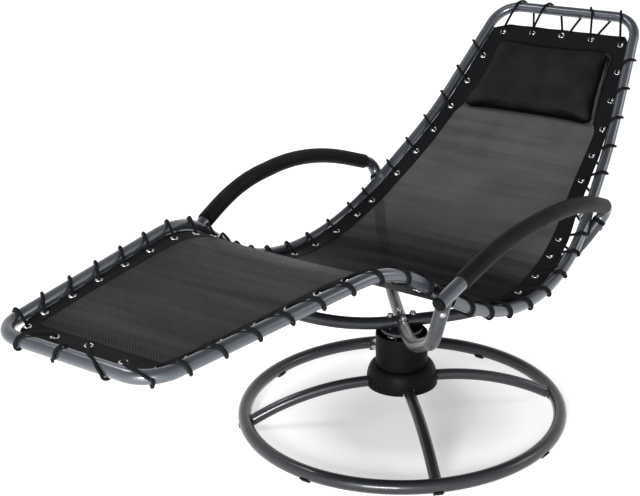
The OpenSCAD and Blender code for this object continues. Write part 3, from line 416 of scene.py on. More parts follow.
class Route:
    """Straight runs joined by round bends, measured from the first corner."""

    def __init__(self, corners, radii):
        self.pieces = []
        start = corners[0]
        for before, corner, after, radius in zip(corners, corners[1:], corners[2:], radii[1:]):
            inward = (corner - before).normalized()
            outward = (after - corner).normalized()
            turn = inward.angle(outward)
            setback = radius * math.tan(turn / 2)
            bend_start = corner - inward * setback
            self.pieces.append(("run", start, inward, (bend_start - start).length))
            side = (outward - inward * inward.dot(outward)).normalized()
            self.pieces.append(("bend", bend_start, inward, radius * turn, side, radius))
            start = corner + outward * setback
        self.pieces.append(("run", start, (corners[-1] - start).normalized(), (corners[-1] - start).length))
        self.length = sum(piece[3] for piece in self.pieces)

    def at(self, s):
        for piece in self.pieces:
            if s <= piece[3] or piece is self.pieces[-1]:
                break
            s -= piece[3]
        if piece[0] == "run":
            return piece[1] + piece[2] * s
        _, start, ahead, _, side, radius = piece
        angle = s / radius
        return start + ahead * (radius * math.sin(angle)) + side * (radius * (1 - math.cos(angle)))


FOOT, KNEE, SEAT, BACK, HEAD = RAIL_CORNERS = [
    Vector(p) for p in [(-951, 174, 517), (-408, 248, 542), (29, 336, 231), (513, 244, 543), (765, 188, 792)]
]
KNEE_R, SEAT_R, BACK_R = 257, 499, 822
RAIL = Route(RAIL_CORNERS, [0, KNEE_R, SEAT_R, BACK_R, 0])
print("each rail is", round(RAIL.length), "mm long along its bends")

# %% [markdown]
# The cloth follows the rails. It is drawn down at the knee, lifts off the bend behind the seat, and its middle
# rises a little over the seat. A point on it is given by its distance up the rail, its distance across, and its
# height over the cloth.

# %% The surface of the cloth
FOOT_CORNER_R, HEAD_CORNER_R = 62, 68
SPACER_AT, STRUT_AT = 131, 360
CLOTH_LIFT, EDGE_DROP, EDGE_RISE, KNEE_PULL = 9, 5, 12.5, 5
KNEE_S = RAIL.pieces[0][3] + RAIL.pieces[1][3] / 2
SEAT_S = sum(piece[3] for piece in RAIL.pieces[:3]) + RAIL.pieces[3][3] / 2
SPACER_S = sum(p[3] for p in RAIL.pieces[:2]) + SPACER_AT - KNEE_R * math.tan(RAIL.pieces[1][3] / KNEE_R / 2)
STRUT_S = sum(p[3] for p in RAIL.pieces[:4]) + STRUT_AT - SEAT_R * math.tan(RAIL.pieces[3][3] / SEAT_R / 2)


def rail_direction(s):
    step = RAIL.at(s + 0.5) - RAIL.at(s - 0.5)
    return Vector((step.x, 0, step.z)).normalized()


def upright(direction):
    return Vector((-direction.z, 0, direction.x))


def bump_at(s, centre, reach):
    return 0 if abs(s - centre) >= reach else (1 + math.cos(math.pi * (s - centre) / reach)) / 2


def ease(s, start, end):
    f = min(1, max(0, (s - start) / (end - start)))
    return f * f * (3 - 2 * f)


def mix(a, b, share):
    return a + (b - a) * share


def edge_in(s):
    """Distance of the cloth's edge from the rail's centreline: wider beside the bolts and the arms' struts."""
    widening = 5.5 * bump_at(s, STRUT_S + 15, 290) + 6 * bump_at(s, SPACER_S, 45) + 2 * bump_at(s, STRUT_S, 45)
    return FRAME_R + 1.5 + widening


CLOTH_FROM = edge_in(0)
CLOTH_TO = RAIL.length - FRAME_R - 40
CORNER_Y = FOOT.y - FOOT_CORNER_R
CORNER_R = FOOT_CORNER_R - CLOTH_FROM


def cloth_half(s):
    straight = RAIL.at(s).y - edge_in(s)
    if s >= FOOT_CORNER_R:
        return straight
    return min(straight, CORNER_Y + math.sqrt(max(0, CORNER_R**2 - (FOOT_CORNER_R - s) ** 2)))


def edge_height(s):
    return -EDGE_DROP + EDGE_RISE * bump_at(s, SEAT_S + 250, 420) - KNEE_PULL * bump_at(s, KNEE_S + 25, 160)


def on_cloth(s, y, w=0.0):
    p = RAIL.at(s)
    lift = CLOTH_LIFT * (bump_at(s, SEAT_S, 380) - bump_at(s, KNEE_S, 160))
    share = y / cloth_half(s)
    height = w + edge_height(s) + lift * (1 - share * share)
    return Vector((p.x, y, p.z)) + upright(rail_direction(s)) * height


print("the cloth is", round(CLOTH_TO - CLOTH_FROM), "mm long and up to", round(2 * cloth_half(SEAT_S)), "mm wide")

# %% [markdown]
# Loops of cord pass over the rail at about every 75 mm, each a little higher up the rail than its eyelet.
# Where a loop would sit on a spacer or under a strut, it is pushed down the rail, with its eyelet.
# The eyelets stand further in from the rail over the seat than on the leg and at the head.

# %% Places of the loops and eyelets
LOOP_N, LEG_LOOPS, SEAT_LOOPS = 24, 8, 12
LEG_PITCH, SEAT_PITCH, BACK_PITCH, HEAD_PITCH = 74, 68.5, 81, 81
FIRST_LOOP, LAST_LOOP, LOOP_SHIFT = 63, 118, 38


def pitches(i):
    """How far the loops before loop i reach, before all are stretched to fit the rail."""
    on_seat = max(0, min(i, SEAT_LOOPS) - LEG_LOOPS)
    return LEG_PITCH * min(i, LEG_LOOPS) + SEAT_PITCH * on_seat + BACK_PITCH * max(0, i - SEAT_LOOPS)


def loop_at(i):
    s = FIRST_LOOP + (RAIL.length - LAST_LOOP - FIRST_LOOP) * pitches(i) / pitches(LOOP_N - 1)
    for place, room in ((SPACER_S, 22), (STRUT_S, 44)):
        if abs(s - place) < room:
            s = place - room
    return s


def eye_in(s, side):
    """Distance of the eyelets from the rail's centreline."""
    over_seat = 17 * ease(s, KNEE_S - 395, KNEE_S + 105) - 12 * ease(s, STRUT_S + 45, STRUT_S + 325)
    return 22.5 + over_seat + side * 4 * ease(s, STRUT_S + 165, STRUT_S + 345)


def side_eye(loop, side):
    s = max(CLOTH_FROM + 32, loop - LOOP_SHIFT)
    return s, side * min(RAIL.at(s).y - eye_in(s, side), cloth_half(s) - 9)


LOOPS = [loop_at(i) for i in range(LOOP_N)]
SIDE_EYES = {side: [side_eye(loop, side) for loop in LOOPS] for side in (-1, 1)}
HEAD_EYES = [(CLOTH_TO - 17 - 2 * i * i, -7 + HEAD_PITCH * i) for i in (2, 1, 0, -1, -2)]
FOOT_EYES = [(CLOTH_FROM + 28, 78), (CLOTH_FROM + 34, 6), (CLOTH_FROM + 20, -84)]
EYES = {
    "eyelets_left": SIDE_EYES[-1],
    "eyelets_right": SIDE_EYES[1],
    "eyelets_head": HEAD_EYES,
    "eyelets_foot": FOOT_EYES,
}
print(sum(len(eyes) for eyes in EYES.values()), "eyelets")

# %% [markdown]
# A cord, a welt and a spring are all a round section swept along a line. A Blender curve does that best:
# the line's points are spaced evenly on a smooth curve, the bevel makes the section, and the result is kept
# as a mesh whose UV map is scaled to real lengths, so that a braid keeps its pitch.


# %% Sweeping a round section
def link(piece):
    bpy.context.scene.collection.objects.link(piece)
    return piece


def piece_from(build, name):
    """Keeps a bmesh as a new piece."""
    mesh = bpy.data.meshes.new(name)
    build.to_mesh(mesh)
    build.free()
    return link(bpy.data.objects.new(name, mesh))


def smooth_line(points, step, closed=False):
    """Points about every step along a smooth curve through the given ones."""
    n = len(points)
    line = []
    for i in range(n if closed else n - 1):
        if closed:
            a, b, c, d = (points[(i + k) % n] for k in (-1, 0, 1, 2))
        else:
            a, b, c, d = points[max(i - 1, 0)], points[i], points[i + 1], points[min(i + 2, n - 1)]
        parts = max(1, round((c - b).length / step))
        for k in range(parts):
            t = k / parts
            square, cube = 2 * a - 5 * b + 4 * c - d, 3 * b - a - 3 * c + d
            line.append((2 * b + (c - a) * t + square * t**2 + cube * t**3) / 2)
    return line if closed else [*line, points[-1]]


def sweep(name, lines, radius, sides=12, closed=False, swell=None):
    """Round tubes along lines in millimetres, as one mesh in metres."""
    curve = bpy.data.curves.new(name, "CURVE")
    curve.dimensions = "3D"
    curve.bevel_depth = radius * MM
    curve.bevel_resolution = max(0, sides // 2 - 2) // 2
    curve.use_fill_caps = not closed
    for line in lines:
        spline = curve.splines.new("POLY")
        spline.points.add(len(line) - 1)
        for i, (point, p) in enumerate(zip(spline.points, line)):
            point.co = (*(p * MM), 1)
            point.radius = swell(i / (len(line) - 1)) if swell else 1
        spline.use_cyclic_u = closed
    holder = link(bpy.data.objects.new(name + "_line", curve))
    graph = bpy.context.evaluated_depsgraph_get()
    mesh = bpy.data.meshes.new_from_object(holder.evaluated_get(graph))
    bpy.data.objects.remove(holder)
    mesh.name = name
    length = sum(line_length(line) for line in lines) / len(lines) * MM
    if mesh.uv_layers:
        for corner in mesh.uv_layers[0].data:
            corner.uv = (corner.uv[1], corner.uv[0] * length)
    mesh.shade_smooth()
    return link(bpy.data.objects.new(name, mesh))


def line_length(line):
    return sum((b - a).length for a, b in zip(line, line[1:]))


# %% [markdown]
# The lacing comes up through an eyelet, goes over the rail, round under it, and on to the next eyelet.
# Round the tube the cord lies on a circle that is half a cord clear of the tube, and between the tube and
# the eyelets it runs straight, because it is pulled tight. The head and the foot have two cords each, which
# start at the middle eyelet: one comes through it, and the other is tied beside it or on the hem's edge.

# %% Lacing
HEM_T = 2.4
CORD_R = 3.0
WRAP_R = FRAME_R + CORD_R + 0.4
EYE_RISE = CORD_R + 2.4
WRAP_ANGLES = [70, 97, 125, 152, 180, 207, 235, 262, 290]


def wrap_share(angle):
    """How far along the tube the cord has come: to its loop at 180 degrees, then on to the next eyelet."""
    turns = [(70, 0.5), (125, 0.8), (180, 1.0)] if angle <= 180 else [(180, 0.0), (235, 0.2), (290, 0.5)]
    for (a, low), (b, high) in zip(turns, turns[1:]):
        if angle <= b:
            return mix(low, high, (angle - a) / (b - a))
    return turns[-1][1]


def wrap(start, loop, end, place, up):
    """Points over and round the tube, or under it first where up is -1."""
    points = []
    for angle in WRAP_ANGLES:
        along = mix(start, loop, wrap_share(angle)) if angle <= 180 else mix(loop, end, wrap_share(angle))
        turn = math.radians(angle)
        points.append(place(along, WRAP_R * math.cos(turn), up * WRAP_R * math.sin(turn)))
    return points


def through(eye, up):
    return [on_cloth(*eye, up * w * EYE_RISE) for w in (-1, 1)]


def side_place(side):
    """A place by the rail: s along it, u in from its centreline and w above it."""

    def place(s, u, w):
        p = RAIL.at(s)
        return Vector((p.x, side * (p.y - u), p.z)) + upright(rail_direction(s)) * w

    return place


def side_cord(side):
    place, eyes = side_place(side), SIDE_EYES[side]
    points = [on_cloth(*eyes[0], -14)]
    for i, loop in enumerate(LOOPS):
        following = eyes[i + 1][0] if i + 1 < LOOP_N else eyes[i][0] + 2 * LOOP_SHIFT
        points += through(eyes[i], 1) + wrap(eyes[i][0], loop, following, place, 1)
    end = LOOPS[-1] + LOOP_SHIFT * 0.8
    return [*points, place(end, edge_in(end) + 2, -WRAP_R)]


def bar_place(corner, inward, bend_r, straight):
    """A place by the head or foot bar, measured from its middle and round its corner bends."""
    inward = inward.normalized()
    normal = upright(inward if inward.x > 0 else -inward)

    def place(t, u, w):
        angle = max(0, abs(t) - straight) / bend_r
        aside = math.copysign(min(abs(t), straight) + (bend_r - u) * math.sin(angle), t)
        ahead = inward * (bend_r - (bend_r - u) * math.cos(angle))
        return Vector((corner.x, 0, corner.z)) + ahead + Vector((0, aside, 0)) + normal * w

    return place


def flip(p, side):
    return Vector((p.x, side * p.y, p.z))


def bar_straight(before, corner, radius):
    """Half the length of a bar's straight run, up to where its corner bends begin."""
    return corner.y - radius * math.tan((corner - before).angle(flip(corner, -1) - corner) / 2)


HEAD_PLACE = bar_place(
    HEAD, -rail_direction(RAIL.length - 1), HEAD_CORNER_R, bar_straight(BACK, HEAD, HEAD_CORNER_R)
)
FOOT_PLACE = bar_place(FOOT, rail_direction(1), FOOT_CORNER_R, bar_straight(KNEE, FOOT, FOOT_CORNER_R))


def end_cord(eyes, loops, finish, place, up, tied):
    aside = eyes[0][1] + math.copysign(9, loops[0] - eyes[0][1])
    if tied and up < 0:
        points = [on_cloth(eyes[0][0] + ahead, aside, up * (EYE_RISE + 1)) for ahead in (12, 0)]
    elif tied:
        points = [on_cloth(CLOTH_FROM + ahead, aside, CORD_R + HEM_T / 2) for ahead in (7, 1)]
    else:
        points = [on_cloth(*eyes[0], -up * 12), *through(eyes[0], up)]
    points += wrap(eyes[0][1], loops[0], eyes[1][1], place, up)
    for i in range(1, len(loops)):
        following = eyes[i + 1][1] if i + 1 < len(loops) else finish
        points += through(eyes[i], up) + wrap(eyes[i][1], loops[i], following, place, up)
    return points


def head_cord(eyes, loops, tied):
    points = end_cord(eyes, loops, eyes[2][1], HEAD_PLACE, -1, tied)
    return points + through(eyes[2], -1) + [on_cloth(*eyes[2], -14)]


CORD_ROUTES = {
    "left": [side_cord(-1)],
    "right": [side_cord(1)],
    "head": [head_cord(HEAD_EYES[2::-1], [50, 126], False), head_cord(HEAD_EYES[2:], [-57, -136], True)],
    "foot": [
        end_cord([FOOT_EYES[1], FOOT_EYES[0]], [18, 109], 125, FOOT_PLACE, 1, True),
        end_cord([FOOT_EYES[1], FOOT_EYES[2]], [-86, -168], -158, FOOT_PLACE, 1, False),
    ],
}
for name, routes in CORD_ROUTES.items():
    lines = [smooth_line(points, 3.5) for points in routes]
    cord = sweep("laced_cord_" + name, lines, CORD_R)
    dress(cord, BRAID)
    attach(cord, "seat")
    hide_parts("lacing_" + name)
    print(cord.name, "is", [round(line_length(line)) for line in lines], "mm long")

# %% [markdown]
# Each cord ends in an overhand knot. A small trefoil swept with the cord's own section looks like one.


# %% Knots
def knot_line(centre, ahead, normal):
    across = normal.cross(ahead)
    points = []
    for i in range(48):
        t = 2 * math.pi * i / 48
        x, y, z = math.sin(t) + 2 * math.sin(2 * t), math.cos(t) - 2 * math.cos(2 * t), -math.sin(3 * t)
        points.append(centre + (ahead * x + across * y) * 1.7 + normal * (z * 2.1))
    return points


def knot_at(points, end):
    tip, before = (points[0], points[1]) if end == 0 else (points[-1], points[-2])
    ahead = (tip - before).normalized()
    normal = ahead.cross(Vector((0, 1, 0.3))).normalized()
    return knot_line(tip + ahead * 2, normal.cross(ahead), ahead)


KNOTTED_ENDS = [("left", 0, 0), ("right", 0, 0), ("head", 0, 1), ("head", 1, 0), ("head", 1, 1), ("foot", 1, 0)]
knots = sweep(
    "cord_knots",
    [knot_at(CORD_ROUTES[name][route], end) for name, route, end in KNOTTED_ENDS],
    CORD_R * 0.8,
    sides=8,
    closed=True,
)
dress(knots, BRAID)
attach(knots, "seat")

# %% [markdown]
# A hem of doubled tape runs all round the sling and carries the eyelets. Its outer edge is the cloth's edge, which
# draws in a little between the eyelets, and its inner edge follows the eyelets at a fixed distance. Both edges are
# worked out first as one ring of flat places, because the mesh panel ends under the hem's inner edge.

# %% The hem's two edges
FOOT_INNER = CLOTH_FROM + 50
HEAD_INNER = CLOTH_TO - 60
HEAD_DROP = 15
HEAD_FLAT = {1: 144, -1: -173}
PAST_EYES = {1: 20, -1: 17.5}
HEM_OUT = {1: 1.6, -1: 0}
EDGE_DRAW = 1.1


def edge_draw(place, places):
    """How far the edge draws in at a place between the eyelets on either side of it."""
    for a, b in zip(places, places[1:]):
        if a <= place <= b:
            return EDGE_DRAW * math.sin(math.pi * (place - a) / (b - a)) ** 2
    return 0


def inner_y(s, side):
    """The hem's inner edge on a side. It is wider under the pillow, whose ends it carries."""
    under_pillow = 15 * ease(s, CLOTH_TO - 285, CLOTH_TO - 235)
    return side * (RAIL.at(s).y - eye_in(s, side) - PAST_EYES[side] - under_pillow)


def hem_side(side, t):
    """Outer and inner place on a side of the hem, from the foot's corner at t=0 to the head's at t=1."""
    s = mix(FOOT_CORNER_R, CLOTH_TO - HEAD_DROP, t)
    inner_s = s + FOOT_INNER - FOOT_CORNER_R - 47 * ease(s, CLOTH_TO - 220, CLOTH_TO - HEAD_DROP)
    draw = edge_draw(s, [eye[0] for eye in SIDE_EYES[side]])
    return (s, side * (cloth_half(s) + HEM_OUT[side] - draw)), (inner_s, inner_y(inner_s, side))


def foot_corner(side, t):
    angle = math.pi / 2 * t
    outer = (FOOT_CORNER_R - CORNER_R * math.cos(angle), side * (CORNER_Y + CORNER_R * math.sin(angle)))
    return outer, (FOOT_INNER, side * mix(CORNER_Y, abs(hem_side(side, 0)[1][1]), t))


def head_corner(side, t):
    (s, y), (inner_s, inner) = hem_side(side, 1)
    return (mix(s, CLOTH_TO, t), mix(y, HEAD_FLAT[side], t)), (inner_s, mix(inner, 0.92 * inner, t))


def foot_bar(t):
    y = mix(-CORNER_Y, CORNER_Y, t)
    return (CLOTH_FROM + edge_draw(y, [eye[1] for eye in FOOT_EYES[::-1]]), y), (FOOT_INNER, y)


def head_bar(t):
    y = mix(HEAD_FLAT[1], HEAD_FLAT[-1], t)
    inner = mix(0.92 * hem_side(1, 1)[1][1], 0.92 * hem_side(-1, 1)[1][1], t)
    return (CLOTH_TO - edge_draw(y, [eye[1] for eye in HEAD_EYES[::-1]]), y), (hem_side(1, 1)[1][0], inner)


SIDE_LENGTH = CLOTH_TO - HEAD_DROP - FOOT_CORNER_R
HEM_PARTS = [
    (2 * CORNER_Y, foot_bar),
    (76, lambda t: foot_corner(1, t)),
    (SIDE_LENGTH, lambda t: hem_side(1, t)),
    (42, lambda t: head_corner(1, t)),
    (HEAD_FLAT[1] - HEAD_FLAT[-1], head_bar),
    (20, lambda t: head_corner(-1, 1 - t)),
    (SIDE_LENGTH, lambda t: hem_side(-1, 1 - t)),
    (76, lambda t: foot_corner(-1, 1 - t)),
]
HEM_LENGTH = sum(length for length, _ in HEM_PARTS)


def hem_spot(share, row):
    """The flat place (s, y) at a share of the way round the hem, from row 0 outside to row 1 inside."""
    run = share % 1 * HEM_LENGTH
    for length, edges in HEM_PARTS:
        if run <= length:
            break
        run -= length
    outer, inner = edges(min(1, run / length))
    return mix(outer[0], inner[0], row), mix(outer[1], inner[1], row)


print("the hem is", round(HEM_LENGTH), "mm long round the sling")

# %% [markdown]
# The mesh panel of the sling is one thin sheet. It starts as a flat grid whose corners are moved onto the
# cloth's surface. Between its laced edges it isn't quite even: faint cross waves show on the back.

# %% Mesh panel
UNDER_HEM = 8
PANEL_T = 0.9


def grid_piece(name, columns, rows, place):
    """A grid of faces whose corners are put at place(column share, row share), which gives a point and its UV."""
    build = bmesh.new()
    bmesh.ops.create_grid(build, x_segments=columns, y_segments=rows, size=0.5)
    map_layer = build.loops.layers.uv.new("UVMap")
    spots = {v: place(v.co.x + 0.5, v.co.y + 0.5) for v in build.verts}
    for face in build.faces:
        for corner in face.loops:
            corner[map_layer].uv = spots[corner.vert][1]
    for v, (point, _) in spots.items():
        v.co = point * MM
    piece = piece_from(build, name)
    piece.data.shade_smooth()
    return piece


def panel_wave(s, y):
    """Height of the faint waves in the mesh, which die out at the hem."""
    calm = 1 - (y / cloth_half(s)) ** 2
    slow = math.sin(s / 27 + 0.004 * y + 0.7 * math.sin(s / 97))
    quick = 0.35 * math.sin(s / 11.5 - 0.006 * y + 1.1 * math.sin(s / 61))
    return 1.1 * calm * (slow + quick) * bump_at(s, 1330, 440)


def panel_point(a, b):
    s = mix(FOOT_INNER - UNDER_HEM, HEAD_INNER + UNDER_HEM, a)
    y = mix(inner_y(s, -1) - UNDER_HEM, inner_y(s, 1) + UNDER_HEM, b)
    return on_cloth(s, y, panel_wave(s, y)), (y * MM, s * MM)


def thicken(piece, thickness):
    solid = piece.modifiers.new("thickness", "SOLIDIFY")
    solid.thickness = thickness * MM
    solid.offset = 0


sling = grid_piece("sling_mesh", 240, 40, panel_point)
thicken(sling, PANEL_T)
dress(sling, MESH_CLOTH)
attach(sling, "seat")
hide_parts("sling")

# %% [markdown]
# The hem tape is a strip that is closed into a ring. Solidify gives it its thickness, and a bevel its soft edges.

# %% Hem tape
HEM_ROWS = [0, 0.03, 0.13, 0.35, 0.58, 0.8, 0.97, 1]


def hem_point(share, row):
    across = HEM_ROWS[round(row * (len(HEM_ROWS) - 1))]
    s, y = hem_spot(share, across)
    ripple = 1.3 * math.sin(share * 410) * across * (1 - across)
    return on_cloth(s, y, ripple), (share * HEM_LENGTH * MM, across * 0.04)


def close_ring(piece):
    build = bmesh.new()
    build.from_mesh(piece.data)
    bmesh.ops.remove_doubles(build, verts=build.verts, dist=1e-5)
    bmesh.ops.recalc_face_normals(build, faces=build.faces)
    build.to_mesh(piece.data)
    build.free()


hem = grid_piece("sling_hem", 560, len(HEM_ROWS) - 1, hem_point)
close_ring(hem)
thicken(hem, HEM_T)
rounded = hem.modifiers.new("rounded", "BEVEL")
rounded.width = 0.8 * MM
rounded.segments = 2
rounded.limit_method = "ANGLE"
rounded.angle_limit = math.radians(50)
dress(hem, HEM_CLOTH)

# %% [markdown]
# An eyelet is spun from its section: a barrel through the cloth with a rolled rim on each face.
# One is made and then set at every place, tilted with the cloth.

# %% Eyelets
HOLE_R, RIM_R, RIM_BEAD = 4.3, 8.0, 1.35
PUNCH_R = 5.3


def eyelet_section():
    """Half a turn of bead on each face, which slopes into the barrel that joins them, as radius and height."""
    low = HEM_T / 2
    top = []
    for degrees in range(0, 151, 30):
        a = math.radians(degrees)
        top.append((RIM_R - RIM_BEAD + RIM_BEAD * math.cos(a), low + 0.1 + RIM_BEAD * math.sin(a)))
    top += [(HOLE_R + 0.5, low + 0.3), (HOLE_R, low - 0.3)]
    return top + [(r, -h) for r, h in reversed(top)]


def spun(section, sides):
    """A closed ring with the given section, spun round the Z axis, in millimetres."""
    build = bmesh.new()
    corners = [build.verts.new((r, 0, h)) for r, h in section]
    edges = [build.edges.new((a, b)) for a, b in zip(corners, corners[1:] + corners[:1])]
    bmesh.ops.spin(
        build, geom=corners + edges, axis=(0, 0, 1), cent=(0, 0, 0), angle=2 * math.pi, steps=sides, use_merge=True
    )
    bmesh.ops.remove_doubles(build, verts=build.verts, dist=1e-4)
    bmesh.ops.recalc_face_normals(build, faces=build.faces)
    return build


def cloth_frame(s, y):
    """A frame on the cloth: X up the rail, Y across and Z off the cloth, in millimetres."""
    ahead = (on_cloth(s + 1, y) - on_cloth(s - 1, y)).normalized()
    normal = ahead.cross(on_cloth(s, y + 1) - on_cloth(s, y - 1)).normalized()
    turn = Matrix((ahead, normal.cross(ahead), normal)).transposed()
    return Matrix.Translation(on_cloth(s, y)) @ turn.to_4x4()


def repeated(name, template, frames):
    """One piece made of a template at every frame, in metres."""
    build = bmesh.new()
    for place in frames:
        copy = template.copy()
        copy.transform(Matrix.Scale(MM, 4) @ place)
        mesh = bpy.data.meshes.new("copy")
        copy.to_mesh(mesh)
        build.from_mesh(mesh)
        bpy.data.meshes.remove(mesh)
        copy.free()
    piece = piece_from(build, name)
    piece.data.shade_smooth()
    return piece


eyelet = spun(eyelet_section(), 28)
for name, eyes in EYES.items():
    piece = repeated(name + "_rolled", eyelet, [cloth_frame(s, y) for s, y in eyes])
    dress(piece, NICKEL)
    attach(piece, "seat")
    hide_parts(name)

# %% Holes through the hem
punch = bmesh.new()
bmesh.ops.create_cone(punch, cap_ends=True, segments=24, radius1=PUNCH_R, radius2=PUNCH_R, depth=14)
punches = repeated("punches", punch, [cloth_frame(s, y) for eyes in EYES.values() for s, y in eyes])
holes = hem.modifiers.new("holes", "BOOLEAN")
holes.operation = "DIFFERENCE"
holes.solver = "EXACT"
holes.object = punches


def apply_modifiers(piece):
    graph = bpy.context.evaluated_depsgraph_get()
    mesh = bpy.data.meshes.new_from_object(piece.evaluated_get(graph))
    piece.modifiers.clear()
    piece.data = mesh


apply_modifiers(hem)
bpy.data.objects.remove(punches)
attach(hem, "seat")
print("hem has", len(hem.data.polygons), "faces")

# %% [markdown]
# Two rows of lockstitch hold the hem. A stitch is a short, fat thread, so each is a small ball drawn out
# along the seam, and some two thousand of them stay light.

# %% Stitches
STITCH = 4.2


def stitch_frames(row, side):
    """Frames along the hem's ring for one row of stitches on its upper or lower face."""
    count = round(HEM_LENGTH / STITCH)
    for i in range(count):
        share = (i + 0.5) / count
        s, y = hem_spot(share, row)
        s2, y2 = hem_spot(share + 0.3 / count, row)
        here, ahead = on_cloth(s, y, side * HEM_T / 2), on_cloth(s2, y2, side * HEM_T / 2)
        forward = (ahead - here).normalized()
        normal = upright(rail_direction(s))
        across = normal.cross(forward).normalized()
        turn = Matrix((forward, across, forward.cross(across))).transposed()
        yield Matrix.Translation(here) @ turn.to_4x4()


thread = bmesh.new()
bmesh.ops.create_icosphere(thread, subdivisions=1, radius=1)
bmesh.ops.scale(thread, vec=(STITCH * 0.42, 0.5, 0.4), verts=thread.verts)
rows = [stitch_frames(row, side) for row in (0.1, 0.9) for side in (-1, 1)]
stitches = repeated("hem_stitches", thread, [place for row in rows for place in row])
dress(stitches, BRAID)
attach(stitches, "seat")

panel_rows = [mix(FOOT_INNER - UNDER_HEM, HEAD_INNER + UNDER_HEM, (i + 0.5) / 100) for i in range(100)]
panel_widths = [(inner_y(s, 1) - inner_y(s, -1) + 2 * UNDER_HEM) * MM for s in panel_rows]
panel_length = (HEAD_INNER - FOOT_INNER + 2 * UNDER_HEM) * MM
round(sum(panel_widths) / 100 * panel_length, 4)
print("the mesh panel was cut", round(max(panel_widths), 3), "by", round(panel_length, 3), "m")

# %% [markdown]
# The pillow is a stuffed cover with a welt round its foot. Its closed form is made flat, a little small, and
# blown up as cloth, which gives the even dome and the soft folds of a stuffed cover. The cap keeps it within the
# space of its CAD solid. Then it gets its sewn puckers and is laid on the slanting back, so that its underside
# rests on the sling.

# %% Pillow
PILLOW_TOP = CLOTH_TO - 56
PILLOW_LEN, PILLOW_W, PILLOW_TAPER, PILLOW_T = 214, 362, 54, 42
PILLOW_SHIFT = 8
SWELL_CAP = 5
SEAM_WIDTH = 34
LEAST_RISE = 0.2


def crown(a, b):
    return (max(0, 1 - abs(a) ** 5) * max(0, 1 - abs(b) ** 8)) ** 0.55


def round_corner(a, b):
    """Draws the square's corners in, so that the cushion's are round."""
    pull = max(0, abs(a) + abs(b) - 1.87) * 0.45
    return a * (1 - pull), b * (1 - pull)


def pillow_flat(a, b, w):
    """A place on the pillow while it lies flat: a along the back, b across, w above the cloth."""
    a, b = round_corner(a, b)
    along = a * (1 - 0.05 * (1 - b * b))
    across = b * (1 - 0.04 * (1 - a * a))
    return Vector((-PILLOW_LEN * (1 - along) / 2, across * (PILLOW_W - PILLOW_TAPER * (a + 1) / 2) / 2, w))


def on_back(p):
    """The same place when the pillow lies on the sling's back."""
    return on_cloth(PILLOW_TOP + p.x, p.y - PILLOW_SHIFT, HEM_T / 2 + 0.3 + p.z)


def build_pillow():
    build = bmesh.new()
    bmesh.ops.create_cube(build, size=2)
    bmesh.ops.subdivide_edges(build, edges=build.edges, cuts=23, use_grid_fill=True)
    for v in build.verts:
        a, b, up = math.sin(v.co.x * math.pi / 2), math.sin(v.co.y * math.pi / 2), (v.co.z + 1) / 2
        full = crown(a, b)
        low = PILLOW_T * 0.15 * (1 - full)
        high = PILLOW_T * 0.28 + (PILLOW_T * 0.72 - SWELL_CAP) * full
        v.co = pillow_flat(a * 0.99, b * 0.993, mix(low, high, up)) * MM
    bmesh.ops.recalc_face_normals(build, faces=build.faces)
    return piece_from(build, "pillow_cushion")


def blow_up(piece, cap):
    """Swells a closed piece as cloth under pressure. No point moves further than the cap."""
    remesh = piece.modifiers.new("even faces", "REMESH")
    remesh.mode = "VOXEL"
    remesh.voxel_size = 0.005
    apply_modifiers(piece)
    start = [v.co.copy() for v in piece.data.vertices]
    cloth = piece.modifiers.new("cloth", "CLOTH")
    cloth.settings.use_pressure = True
    cloth.settings.uniform_pressure_force = 4
    cloth.settings.effector_weights.gravity = 0
    for moment in range(1, 21):
        bpy.context.scene.frame_set(moment)
    apply_modifiers(piece)
    bpy.context.scene.frame_set(1)
    furthest = 0
    for v, rest in zip(piece.data.vertices, start):
        move = v.co - rest
        furthest = max(furthest, move.length / MM)
        v.co = rest + move * min(1, cap * MM / max(move.length, 1e-9))
    print(piece.name, "swelled by up to", round(furthest, 1), "mm before its cap")


def seam_share(p):
    """How close a point of the flat pillow is to its seam: 1 on it, 0 from SEAM_WIDTH inside."""
    a = min(1, abs(2 * p.x / PILLOW_LEN + 1))
    b = min(1, abs(2 * p.y / (PILLOW_W - PILLOW_TAPER * (a + 1) / 2)))
    inside = min((1 - a) * PILLOW_LEN / 2, (1 - b) * PILLOW_W / 2)
    return max(0, 1 - inside / SEAM_WIDTH)


def lay_pillow(piece):
    """Marks the steep sides for their darker colour, which is painted shade, adds the puckers and lays the pillow
    on the sling.
    """
    # The steeper a place, the more of the darker side colour it gets: painted shade.
    sides = piece.data.attributes.new("painted_side_shade", "FLOAT", "POINT")
    for v in piece.data.vertices:
        sides.data[v.index].value = 1 - ease(v.normal.z, 0.45, 0.93)
    for v in piece.data.vertices:
        p = v.co / MM
        seam = seam_share(p)
        round_seam = math.atan2(p.y, 1.5 * (p.x + PILLOW_LEN / 2))
        pucker = 0.7 * seam**2 * math.sin(round_seam * 57 + 3 * math.sin(round_seam * 7))
        rise = min(1, max(0, (p.z - 8) / 6))
        v.co = on_back(Vector((p.x, p.y, max(LEAST_RISE, p.z + pucker * rise)))) * MM


pillow = build_pillow()
blow_up(pillow, SWELL_CAP)
lay_pillow(pillow)
rounder = pillow.modifiers.new("rounder", "SUBSURF")
rounder.levels = rounder.render_levels = 1
pillow.data.shade_smooth()
dress(pillow, PILLOW_CLOTH)
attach(pillow, "seat")
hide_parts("pillow")


# %% Welt
def welt_line():
    corners = []
    for i in range(120):
        turn = 2 * math.pi * i / 120
        x, y = math.cos(turn), math.sin(turn)
        reach = 1 / max(abs(x), abs(y))
        corners.append(on_back(pillow_flat(x * reach * 0.965 + 0.025, y * reach * 0.993, 3.5)))
    return corners


welt = sweep("pillow_welt", [smooth_line(welt_line(), 4, closed=True)], 2.2, sides=12, closed=True)
dress(welt, PIPING_CLOTH)
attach(welt, "seat")

